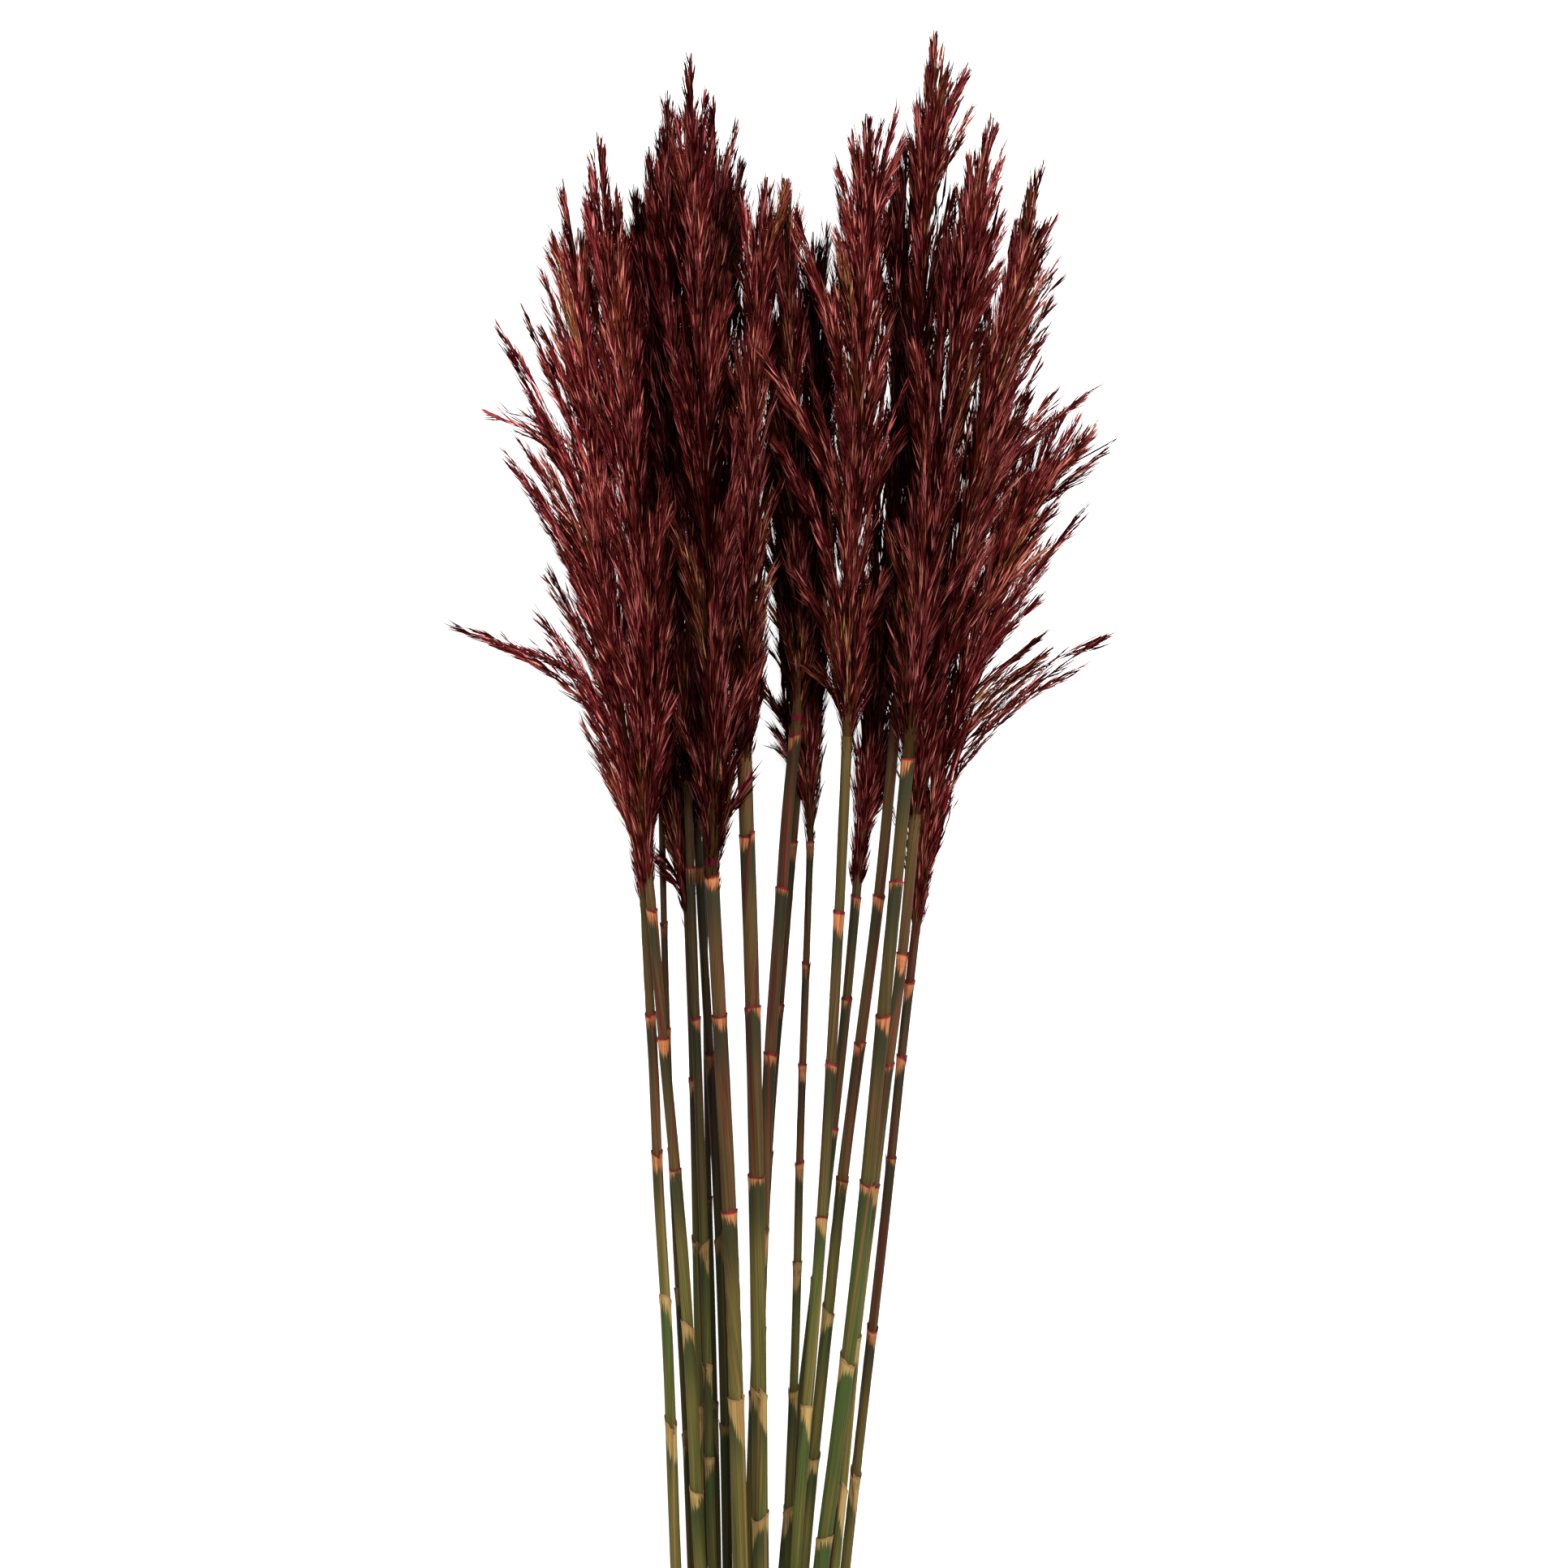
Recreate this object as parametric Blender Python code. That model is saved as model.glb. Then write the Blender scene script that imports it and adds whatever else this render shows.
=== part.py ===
"""A bunch of cut, dried reeds with wine-red plumes, lying loosely gathered on a flat surface.

The cut ends point to -Y and the plumes to +Y, and the surface is Z = 0. Each reed is two pieces:
a culm, with the rims of the leaf sheaths that wrap it, and a plume of locks fused to one axis.
"""

from typing import NamedTuple

import bmesh
import bpy
import numpy as np

MM = 0.001

# Driving dimensions, in millimetres
PIECE_GAP = 0.4
WELD_DISTANCE = 0.01
PARALLEL = 1e-9
RIM_FLARE = 0.2
RIM_LENGTH = 0.7
SHEATH_STEP = 0.06
RIM_SPACING_UNSEEN = 78
LOWEST_RIM = 18
CREST_BASE_RADIUS = 0.75
CREST_STATIONS = (0.0, 0.18, 0.5, 0.84, 1.0)
CREST_PROFILE = (0.3, 0.8, 1.0, 0.6, 0.1)
LOCK_RADIUS = 3.4
LOCK_STATIONS = (0.0, 0.4, 0.72, 1.0)
LOCK_PROFILE = (0.45, 1.0, 0.8, 0.1)
SHORT_LOCK = 75
SHORT_LOCK_STATIONS = (0.0, 0.5, 1.0)
SHORT_LOCK_PROFILE = (0.45, 1.0, 0.1)
LOCK_SPREAD = 0.8
STRAIGHT_LOCK_SPREAD = 2.0
STRAIGHT_LOCK_REEDS = ("01",)
LOCK_BEND = 0.5
LIFT_TRIALS = (0, 3, -3, 6, -6, 9, -9, 13, -13)
WIDTH_TRIALS = (1.0, 0.8, 0.6, 0.45, 0.33)
DEPTH_LOCKS = ((0.14, 50), (0.45, 60))
DEPTH_REACH = 11
ROUND_BEVEL = 1
LOCK_BEVEL = 0
CULM_GREEN = (0.10, 0.085, 0.03)
CULM_ROUGHNESS = 0.45
PLUME_RED = (0.11, 0.012, 0.016)
PLUME_ROUGHNESS = 0.6


class Reed(NamedTuple):
    """One reed in millimetres: x from the bunch's middle line, y from its mid-length, z up.

    culm is the centre line from the cut foot to the neck, and crest goes on from there to the
    plume's tip. radii are the culm's at the foot and the neck, and rims the places of its sheath
    rims. core is the greatest radius of the plume's axis. A lock is (y where it leaves the axis,
    x and y of its tip, tip's height over the root).
    """

    number: str
    culm: tuple
    radii: tuple
    rims: tuple
    crest: tuple
    core: float
    locks: tuple


REEDS = (
    Reed(
        number="01",
        culm=((-29, -375.5, 7.5), (-38.2, -192.6, 14), (-41.4, -104.7, 17.5), (-44.7, -47.7, 21),
            (-46.2, -8.7, 23.5), (-48.2, 27.3, 26), (-49.5, 56.5, 28)),
        radii=(2.4, 1.8),
        rims=(-139, -94, -38.5, 12.5),
        crest=((-54, 99, 28), (-61, 147, 27), (-66, 195, 26), (-70, 243, 25), (-74, 285, 24),
            (-80, 322, 23)),
        core=5.6,
        locks=((111, -124, 157, 0), (92, -90, 164, 6), (108, -86, 180, -5), (126, -81, 186, 8),
            (147, -102, 222, 0), (204, -110, 236, 4), (156, -96, 225, 3), (177, -98, 250, -4),
            (180, -105, 270, 2), (195, -95, 275, 6), (219, -88, 289, -2), (237, -84, 302, 4),
            (66, -73, 122, -3), (261, -70, 309, 3)),
    ),
    Reed(
        number="02",
        culm=((-21.5, -375.5, 13.5), (-29, -192.5, 22), (-35, -80.5, 29), (-42.5, 4, 36),
            (-48.5, 74, 41)),
        radii=(2.8, 1.8),
        rims=(-164, -103, -44.5, 4, 51.5),
        crest=((-47, 117, 42), (-48, 159, 42), (-52, 201, 41), (-57, 243, 40), (-62, 285, 38),
            (-67, 338, 36)),
        core=6.2,
        locks=((87, -40, 132, 4), (99, -67, 159, 6), (117, -62, 195, 8), (147, -41, 210, 6),
            (195, -60, 317, 4), (219, -70, 312, 6), (243, -64, 316, 2), (129, -36, 201, -4)),
    ),
    Reed(
        number="03",
        culm=((-27.5, -375.5, 1.5), (-32.7, -192.6, 5), (-35.2, -128.7, 6.5), (-37.8, -80.7, 8),
            (-41.7, 12.3, 10.5), (-44, 116.5, 14)),
        radii=(1.6, 1.2),
        rims=(-144.5, -91, -38, 6.5, 46),
        crest=((-44, 159, 13.5), (-46, 201, 13), (-48, 243, 13), (-51, 282, 12.5), (-54, 321, 12)),
        core=4.4,
        locks=((219, -59, 306, 2), (237, -49, 309, 4), (255, -57, 303, -3), (273, -51, 317, 0)),
    ),
    Reed(
        number="04",
        culm=((-22.5, -375.5, 6.5), (-28, -192.5, 11), (-30, -92.5, 14), (-32, 6.5, 18),
            (-33.5, 50.5, 20)),
        radii=(1.8, 1.6),
        rims=(-134.5, -71.5, -12.5),
        crest=((-38, 87, 21), (-40, 123, 22), (-42, 165, 23), (-44, 207, 24), (-45, 249, 24),
            (-46, 288, 24), (-48, 334, 23)),
        core=4.4,
        locks=((57, -43, 79, 4), (69, -44, 110, -4), (243, -54, 304, 2), (258, -43, 322, 4),
            (279, -47, 332, 3)),
    ),
    Reed(
        number="05",
        culm=((-16, -375.5, 12), (-24.5, -192.5, 17), (-27.5, -74, 24), (-30.5, 11, 30),
            (-33.5, 98.5, 34)),
        radii=(1.8, 1.6),
        rims=(-152.5, -118, -74, 11, 67),
        crest=((-35, 141, 34), (-37, 183, 33), (-38, 225, 33), (-39, 267, 32), (-40, 309, 31),
            (-41, 354, 30)),
        core=5,
        locks=((177, -48, 252, 4), (231, -44, 297, 6), (267, -40, 342, 2), (285, -44, 323, 2)),
    ),
    Reed(
        number="06",
        culm=((-23, -375.5, 1.5), (-22.5, -192.5, 3), (-24.5, -104.5, 5), (-26.5, -32.5, 7),
            (-27.5, 86.5, 10)),
        radii=(1.3, 1),
        rims=(-134, -56.5),
        crest=((-26, 132, 10), (-24, 177, 9), (-22, 219, 9), (-20, 261, 9), (-18, 297, 9),
            (-14, 332, 9)),
        core=3.8,
        locks=((243, -15, 327, 2), (261, -17, 312, 2), (267, -12, 311, 0)),
    ),
    Reed(
        number="07",
        culm=((-17.5, -375.5, 2), (-19, -192.5, 7), (-22, -71, 10.5), (-26.5, 12.5, 13.5),
            (-30.5, 86.5, 17)),
        radii=(2.1, 1.6),
        rims=(-140.5, -71, -2.5, 67),
        crest=((-29, 129, 19), (-27, 177, 21), (-26, 225, 22), (-25, 267, 23), (-23, 309, 23),
            (-24, 353, 23)),
        core=4.4,
        locks=((261, -16, 344, 3), (249, -15, 323, 2), (279, -19, 333, -2)),
    ),
    Reed(
        number="08",
        culm=((-11, -375.5, 16), (-14, -192.6, 30), (-17.5, -71.7, 40), (-21.1, 3.3, 47),
            (-24.3, 64, 53)),
        radii=(3.2, 2.6),
        rims=(-128.5, -59.5, 13),
        crest=((-23, 102, 54), (-24, 147, 54), (-26, 192, 53), (-28, 237, 52), (-30, 282, 50),
            (-31, 327, 48), (-32, 366, 46)),
        core=7.5,
        locks=((71, -8, 103, 5), (72, -10, 123, -3), (87, -6, 147, 4), (72, -36, 123, 4),
            (117, -38, 195, 6), (141, -16, 207, 8), (195, -40, 261, 5), (201, -18, 285, 6),
            (267, -37, 345, 4), (288, -27, 354, 3), (273, -24, 339, 2)),
    ),
    Reed(
        number="09",
        culm=((-4, -375.5, 14), (-6.5, -192.5, 22), (-8, -56.5, 32), (-9.5, 15.5, 38),
            (-12.5, 107.5, 45)),
        radii=(3.1, 2.8),
        rims=(-173.5, -127, -47, 15.5, 79.5),
        crest=((-12, 147, 46), (-11, 192, 45), (-9, 237, 44), (-8, 273, 43), (-6, 297, 42),
            (-4, 321, 41)),
        core=5.6,
        locks=((129, -3, 177, 2), (159, 1, 210, 0), (195, -15, 258, 4), (261, 4, 320, 2),
            (243, -13, 315, 4), (267, 0, 300, 0), (117, -7, 150, 4)),
    ),
    Reed(
        number="10",
        culm=((-15.5, -375.5, 7), (-10.5, -192.6, 12), (-5.5, -56.7, 18), (-2.7, 3.3, 21.5),
            (0.6, 48.3, 24), (3.4, 87.3, 27.5), (6.7, 119.5, 30)),
        radii=(2.6, 2.2),
        rims=(-130, -68.5, -2.5, 59, 116),
        crest=((8, 153, 30), (7, 189, 29), (6, 225, 28), (5, 261, 27), (3, 291, 26), (2, 322, 25)),
        core=4.4,
        locks=((132, -4, 166, 2), (255, -2, 310, 2), (267, 7, 314, 3), (177, 0, 243, 2)),
    ),
    Reed(
        number="11",
        culm=((-11, -375.5, 1.5), (-8, -192.6, 5), (-5.4, -80.7, 7.5), (-3.1, -32.7, 9), (2.2, 33.3, 11),
            (7.5, 98.5, 14)),
        radii=(1.7, 1.4),
        rims=(-104.5, -40, 15.5, 76),
        crest=((7.3, 129, 11.5), (5.5, 165, 10), (4, 201, 9), (2, 237, 9), (1, 272, 9)),
        core=3.8,
        locks=((105, -8, 137, 2), (117, -1, 152, -1), (219, -5, 282, 2)),
    ),
    Reed(
        number="12",
        culm=((-2, -375.5, 8), (3, -192.6, 14), (6.5, -104.7, 16), (8.2, -32.7, 17), (10.2, 27.3, 17),
            (11.9, 76, 17)),
        radii=(2.1, 1.3),
        rims=(-172.5, -127, -80, -43, -6.5, 31),
        crest=((12, 111, 17), (13, 147, 16), (14, 189, 15), (14, 231, 15), (14, 267, 14),
            (13, 303, 14)),
        core=3.8,
        locks=((84, -1, 116, 2), (87, 6, 124, 2), (249, 18, 306, 2), (231, 9, 285, 0)),
    ),
    Reed(
        number="13",
        culm=((2.5, -375.5, 15), (6.5, -192.6, 24), (16, -62.7, 34), (19.6, -2.7, 38.5), (23, 63.3, 44),
            (25.3, 115, 48)),
        radii=(2.3, 1.9),
        rims=(-132.5, -62, -5.5, 50.5),
        crest=((26, 147, 49), (28, 189, 49), (30, 237, 48), (32, 282, 46), (33, 312, 45),
            (32, 344, 44)),
        core=6.8,
        locks=((120, 8, 141, 4), (126, 4, 177, 2), (147, -2, 225, 5), (171, -6, 256, 4),
            (207, 6, 309, 2), (129, 40, 177, 2), (177, 47, 246, 4), (255, 22, 326, 3),
            (273, 27, 338, 4), (279, 43, 346, 2), (291, 47, 337, 0), (156, 15, 240, 3),
            (183, 22, 263, 4), (192, 40, 263, 4)),
    ),
    Reed(
        number="14",
        culm=((-7, -375.5, 2), (2, -192.5, 6), (14.5, -83.5, 9), (25.5, 17.5, 12), (30.5, 73, 14)),
        radii=(1.9, 1.8),
        rims=(-172.5, -86.5, -30.5, 17.5, 56),
        crest=((35, 108, 14), (39, 147, 14), (42, 189, 14), (44, 231, 14), (45, 273, 14),
            (47, 306, 13), (48, 338, 13)),
        core=5,
        locks=((79, 36, 127, 2), (78, 38, 104, 3), (77, 40, 117, -3), (273, 44, 330, 2), (243, 38, 288, 0)),
    ),
    Reed(
        number="15",
        culm=((-1, -375.5, 2), (9.5, -192.6, 10), (18, -104.7, 15.5), (24.3, -44.7, 20.5),
            (29.7, -2.7, 24), (36.3, 48.3, 28.5), (44.1, 128, 34)),
        radii=(2.4, 2),
        rims=(-152, -98, -49, 2, 56),
        crest=((47, 171, 34), (50, 219, 33), (53, 267, 32), (55, 309, 31), (57, 345, 30),
            (58, 375, 29)),
        core=5.6,
        locks=((303, 72, 349, 2), (318, 70, 364, 3), (297, 51, 350, 2), (279, 49, 338, -2),
            (243, 65, 318, 2)),
    ),
    Reed(
        number="16",
        culm=((8, -375.5, 8), (15.8, -192.6, 26), (20.9, -152.7, 30), (26.8, -104.7, 35),
            (32.9, -47.7, 40.5), (37.1, -2.7, 45), (42.3, 51.3, 50), (47.5, 107, 55)),
        radii=(3.2, 2.4),
        rims=(-181, -115, -49, 12.5, 62),
        crest=((50, 141, 56), (55, 183, 56), (60, 228, 55), (66, 267, 53), (72, 303, 51),
            (79, 342, 49)),
        core=6.8,
        locks=((117, 43, 150, 4), (135, 44, 195, 5), (177, 49, 261, 6), (129, 65, 177, 6),
            (249, 83, 308, 3), (267, 82, 330, 3), (279, 70, 330, 4), (231, 82, 291, 5)),
    ),
    Reed(
        number="17",
        culm=((4.5, -375.5, 2), (20.9, -192.6, 14), (24.6, -152.7, 17.5), (28.3, -110.7, 21.5),
            (34.7, -56.7, 27), (39.9, -11.7, 32), (45.6, 33.3, 36.5), (50.5, 86.5, 42)),
        radii=(2.2, 2),
        rims=(-164.5, -107.5, -50.5, -5.5, 35.5),
        crest=((55, 123, 42), (62, 165, 41), (70, 207, 40), (80, 249, 38), (89, 285, 36),
            (98, 328, 34)),
        core=6.2,
        locks=((159, 97, 255, 2), (189, 99, 266, 4), (219, 102, 278, 2), (243, 104, 292, 3),
            (261, 103, 308, 2), (255, 88, 306, 3), (141, 93, 244, 0), (183, 116, 243, 3),
            (174, 103, 244, 6), (156, 89, 222, 2)),
    ),
    Reed(
        number="18",
        culm=((11, -375.5, 2), (25.2, -192.6, 8), (30.3, -146.7, 10), (39.5, -65.7, 14), (47.5, 12.3, 18),
            (51.5, 47.5, 20)),
        radii=(2.2, 1.7),
        rims=(-158.5, -104.5, -41, -3.5, 24.5),
        crest=((55, 78, 20), (61, 108, 20), (69, 138, 19), (77, 169, 18), (89, 197, 17),
            (104, 217, 16), (126, 226, 15)),
        core=5,
        locks=((93, 125, 154, 0), (108, 102, 148, 5), (117, 100, 154, -4), (126, 99, 169, 3),
            (132, 116, 202, 0), (183, 119, 233, 2), (159, 106, 207, -4), (147, 99, 194, 4),
            (63, 63, 98, 3), (153, 89, 219, 8), (147, 105, 218, 4),
            (141, 96, 210, 6)),
    ),
)


def clear_scene():
    for thing in list(bpy.data.objects):
        bpy.data.objects.remove(thing)


def new_collection(name):
    made = bpy.data.collections.new(name)
    bpy.context.scene.collection.children.link(made)
    return made


def principled(name, colour, roughness):
    material = bpy.data.materials.new(name)
    material.use_nodes = True
    shader = material.node_tree.nodes["Principled BSDF"]
    shader.inputs["Base Color"].default_value = (*colour, 1)
    shader.inputs["Roughness"].default_value = roughness
    shader.inputs["Metallic"].default_value = 0
    material.diffuse_color = (*colour, 1)
    return material


def point_at(line, y):
    """The points at heights y of the smooth line through the given points, which rise in y."""
    line = np.array(line, float)
    heights = line[:, 1]
    slopes = np.gradient(line, heights, axis=0)
    y = np.atleast_1d(np.asarray(y, float))
    below = np.clip(np.searchsorted(heights, y) - 1, 0, len(line) - 2)
    step = (heights[below + 1] - heights[below])[:, None]
    t = (y - heights[below])[:, None] / step
    return (
        (2 * t**3 - 3 * t**2 + 1) * line[below]
        + (t**3 - 2 * t**2 + t) * step * slopes[below]
        + (3 * t**2 - 2 * t**3) * line[below + 1]
        + (t**3 - t**2) * step * slopes[below + 1]
    )


def direction_at(line, y):
    ahead = point_at(line, y + 1)[0] - point_at(line, y - 1)[0]
    return ahead / np.linalg.norm(ahead)


def rims_of(reed):
    """The rims that were measured, and those below them on the stretch down to the cut."""
    foot = reed.culm[0][1]
    rims = sorted(reed.rims)
    while rims[0] - RIM_SPACING_UNSEEN > foot + LOWEST_RIM:
        rims.insert(0, rims[0] - RIM_SPACING_UNSEEN)
    return rims


def culm_profile(reed):
    """Heights and radii from foot to neck: each sheath widens to its rim and steps in above it."""
    foot, neck = reed.culm[0][1], reed.culm[-1][1]
    heights, radii = [foot], [reed.radii[0]]

    def radius(y):
        return np.interp(y, (foot, neck), reed.radii)

    for rim in rims_of(reed):
        heights += [rim, rim + RIM_LENGTH]
        radii += [radius(rim) + RIM_FLARE, radius(rim) * (1 - SHEATH_STEP)]
    return heights + [neck], radii + [reed.radii[1]]


def crest_profile(reed):
    """Heights and radii of the plume's own axis, from just above the neck to its tip."""
    line = reed.culm + reed.crest
    base, tip = reed.culm[-1][1] + PIECE_GAP, reed.crest[-1][1]
    heights = [base + share * (tip - base) for share in CREST_STATIONS]
    radii = [max(CREST_BASE_RADIUS, reed.core * share) for share in CREST_PROFILE]
    radii[-1] = reed.core * CREST_PROFILE[-1]
    return point_at(line, heights), radii


class Clearance:
    """The pieces placed so far, as straight runs with a radius, each with its reed and kind."""

    def __init__(self):
        self.starts, self.ends, self.radii, self.owners = [], [], [], []

    def add(self, owner, points, radii):
        for k in range(len(points) - 1):
            self.starts.append(points[k])
            self.ends.append(points[k + 1])
            self.radii.append(max(radii[k], radii[k + 1]))
            self.owners.append(owner)

    def is_free(self, owner, points, radii):
        """Whether a tube along points keeps its gap to every other owner's pieces."""
        others = [k for k, name in enumerate(self.owners) if name != owner]
        starts = np.array([self.starts[k] for k in others])
        ends = np.array([self.ends[k] for k in others])
        reach = np.array([self.radii[k] for k in others])
        for k in range(len(points) - 1):
            apart = run_distance(points[k], points[k + 1], starts, ends)
            if (apart < reach + max(radii[k], radii[k + 1]) + PIECE_GAP).any():
                return False
        return True


def run_distance(start, end, starts, ends):
    """The shortest distances from one straight run to each of many."""
    one, many, between = end - start, ends - starts, start - starts
    a, e = one @ one, (many * many).sum(1)
    b, c, f = many @ one, between @ one, (many * between).sum(1)
    slant = a * e - b * b
    s = np.clip(np.where(slant > PARALLEL, (b * f - c * e) / np.maximum(slant, PARALLEL), 0), 0, 1)
    t = np.clip((b * s + f) / e, 0, 1)
    s = np.clip((b * t - c) / a, 0, 1)
    return np.linalg.norm(between + s[:, None] * one - t[:, None] * many, axis=1)


def lock_shape(root, tip, axis, spread):
    """A branch's points and its width at each: it leaves along the axis and bends to its tip."""
    chord = tip - root
    length = np.linalg.norm(chord)
    aim = axis + spread * chord / length
    middle = root + LOCK_BEND * length * aim / np.linalg.norm(aim)
    stations, profile = LOCK_STATIONS, LOCK_PROFILE
    if length < SHORT_LOCK:
        stations, profile = SHORT_LOCK_STATIONS, SHORT_LOCK_PROFILE
    t = np.array(stations)[:, None]
    points = (1 - t) ** 2 * root + 2 * t * (1 - t) * middle + t**2 * tip
    return points, LOCK_RADIUS * np.array(profile)


def on_surface(points, radii):
    """The points, raised where the tube would go below the surface that the bunch lies on."""
    raised = points.copy()
    raised[:, 2] = np.maximum(points[:, 2], radii)
    return raised


def grow_lock(reed, root_y, tip, clearance):
    """The lock nearest to the wanted one that is clear of the other reeds, or None."""
    line = reed.culm + reed.crest
    root, axis = point_at(line, root_y)[0], direction_at(line, root_y)
    spread = STRAIGHT_LOCK_SPREAD if reed.number in STRAIGHT_LOCK_REEDS else LOCK_SPREAD
    for width in WIDTH_TRIALS:
        for lift in LIFT_TRIALS:
            points, radii = lock_shape(root, tip + np.array((0, 0, lift)), axis, spread)
            radii = radii * width
            points = on_surface(points, radii)
            if clearance.is_free(reed.number, points, radii):
                return points, radii
    return None


def outline_locks(reed, clearance):
    """The measured locks, which give the plume its outline."""
    made = []
    for root_y, tip_x, tip_y, lift in reed.locks:
        root = point_at(reed.culm + reed.crest, root_y)[0]
        found = grow_lock(reed, root_y, np.array((tip_x, tip_y, root[2] + lift)), clearance)
        if found:
            clearance.add(reed.number, *found)
            made.append(found)
    return made


def depth_locks(reed, clearance):
    """Locks towards and away from the surface in turn, which give the plume its thickness."""
    made = []
    base, top = reed.culm[-1][1], reed.crest[-1][1]
    for turn, (share, length) in enumerate(DEPTH_LOCKS):
        side = 1 if turn % 2 else -1
        root_y = base + share * (top - base)
        root = point_at(reed.culm + reed.crest, root_y)[0]
        tip = root + direction_at(reed.culm + reed.crest, root_y) * length
        tip[2] += side * DEPTH_REACH
        found = grow_lock(reed, root_y, tip, clearance)
        if found:
            clearance.add(reed.number, *found)
            made.append(found)
    return made


def tube(name, points, radii, bevel, collection):
    """A round tube with closed ends, as a curve object with a radius at each point."""
    curve = bpy.data.curves.new(name, "CURVE")
    curve.dimensions = "3D"
    curve.bevel_depth = MM
    curve.bevel_resolution = bevel
    curve.use_fill_caps = True
    spline = curve.splines.new("POLY")
    spline.points.add(len(points) - 1)
    for place, position, radius in zip(spline.points, points, radii):
        place.co = (*(np.asarray(position) * MM), 1)
        place.radius = radius
    made = bpy.data.objects.new(name, curve)
    collection.objects.link(made)
    return made


def as_mesh(thing, collection):
    """The object's shape as a mesh object of the same name, with its loose end caps welded on."""
    name = thing.name
    graph = bpy.context.evaluated_depsgraph_get()
    mesh = bpy.data.meshes.new_from_object(thing.evaluated_get(graph))
    work = bmesh.new()
    work.from_mesh(mesh)
    bmesh.ops.remove_doubles(work, verts=work.verts, dist=WELD_DISTANCE * MM)
    bmesh.ops.recalc_face_normals(work, faces=work.faces)
    work.to_mesh(mesh)
    work.free()
    place = thing.matrix_world.copy()
    bpy.data.objects.remove(thing)
    made = bpy.data.objects.new(name, mesh)
    made.matrix_world = place
    collection.objects.link(made)
    return made


def fused(core, locks, collection):
    """One closed mesh of the core and its locks."""
    union = core.modifiers.new("locks", "BOOLEAN")
    union.operation = "UNION"
    union.operand_type = "COLLECTION"
    union.collection = locks
    bpy.context.view_layer.update()
    made = as_mesh(core, collection)
    for lock in list(locks.objects):
        bpy.data.objects.remove(lock)
    bpy.data.collections.remove(locks)
    return made


def culm_piece(reed, collection, material):
    heights, radii = culm_profile(reed)
    made = tube(f"culm_{reed.number}", point_at(reed.culm, heights), radii, ROUND_BEVEL, collection)
    made.data.materials.append(material)
    return made


def plume_piece(reed, grown, collection, material):
    name = f"plume_{reed.number}"
    locks = new_collection(name + "_locks")
    for k, (points, radii) in enumerate(grown):
        lock = as_mesh(tube(f"{name}_lock_{k}", points, radii, LOCK_BEVEL, collection), locks)
        lock.hide_render = True
        lock.display_type = "WIRE"
    points, radii = crest_profile(reed)
    core = as_mesh(tube(name, points, radii, ROUND_BEVEL, collection), collection)
    made = fused(core, locks, collection)
    made.name = name
    made.data.shade_smooth()
    made.data.materials.clear()
    made.data.materials.append(material)
    return made


def main():
    clear_scene()
    bunch = new_collection("reed_bunch")
    clearance = Clearance()
    for reed in REEDS:
        heights, radii = culm_profile(reed)
        clearance.add(reed.number + "_culm", point_at(reed.culm, heights), radii)
        clearance.add(reed.number, *crest_profile(reed))
    grown = {reed.number: outline_locks(reed, clearance) for reed in REEDS}
    for reed in REEDS:
        grown[reed.number] += depth_locks(reed, clearance)
    for reed in REEDS:
        green = principled(f"culm_green_{reed.number}", CULM_GREEN, CULM_ROUGHNESS)
        red = principled(f"plume_red_{reed.number}", PLUME_RED, PLUME_ROUGHNESS)
        culm_piece(reed, bunch, green)
        plume_piece(reed, grown[reed.number], bunch, red)


main()
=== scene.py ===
"""The looks of a bunch of cut, dried reeds with wine-red plumes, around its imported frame.

Each reed is a culm in its leaf sheaths and a plume of fine branches that carry narrow spikelets.
Lengths are in millimetres until a mesh is made, which is in metres. The cut ends point to -Y, the
plumes to +Y, and the bunch lies on Z = 0 with the camera above it.
"""

from typing import NamedTuple

import bpy
import numpy as np
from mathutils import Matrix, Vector


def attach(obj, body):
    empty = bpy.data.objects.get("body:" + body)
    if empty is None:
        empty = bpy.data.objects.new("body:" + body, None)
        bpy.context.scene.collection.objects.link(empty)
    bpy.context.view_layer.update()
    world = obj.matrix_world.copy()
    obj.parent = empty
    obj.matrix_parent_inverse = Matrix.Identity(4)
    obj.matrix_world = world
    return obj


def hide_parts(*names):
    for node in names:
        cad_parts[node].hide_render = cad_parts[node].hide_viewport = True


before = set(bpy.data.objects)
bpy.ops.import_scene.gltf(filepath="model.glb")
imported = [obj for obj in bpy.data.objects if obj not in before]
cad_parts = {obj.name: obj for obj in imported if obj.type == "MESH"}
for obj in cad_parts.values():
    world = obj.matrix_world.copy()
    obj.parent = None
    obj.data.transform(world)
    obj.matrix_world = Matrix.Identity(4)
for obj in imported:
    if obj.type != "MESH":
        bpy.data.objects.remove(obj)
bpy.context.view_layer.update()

MM = 0.001
FULL_TURN = 2 * np.pi

# The view: the photograph's middle, the side of its frame, and a camera far above the bunch
VIEW_X = 2.1
VIEW_Y = 97.5
VIEW_SIDE = 579.6
VIEW_LEVEL = 30
CAMERA_HEIGHT = 2500
SENSOR = 36

# The floor and the light. A lamp has its name, its place and size in metres, and its power.
FLOOR_HALF = 3000
FLOOR_GLOW = 0.75
SKY_LIGHT = 0.7
LAMPS = (
    ("key", (0.25, 0.45, 1.8), 0.8, 84),
    ("right", (1.3, 0.5, 0.7), 0.4, 30),
    ("left", (-1.3, 0.3, 0.8), 0.5, 17),
)

# From here on, two numbers are a span, and three are a span with its likeliest value between. A
# spread is a standard deviation. Places along a plume or a branch are shares of its length. Hues go
# from crimson, at 0, over brick red to olive, at 1, and on to the stalk's own, and tones from
# near-black, at 0, to pale, at 1. Single reeds that differ from the rest go by their numbers.

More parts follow.
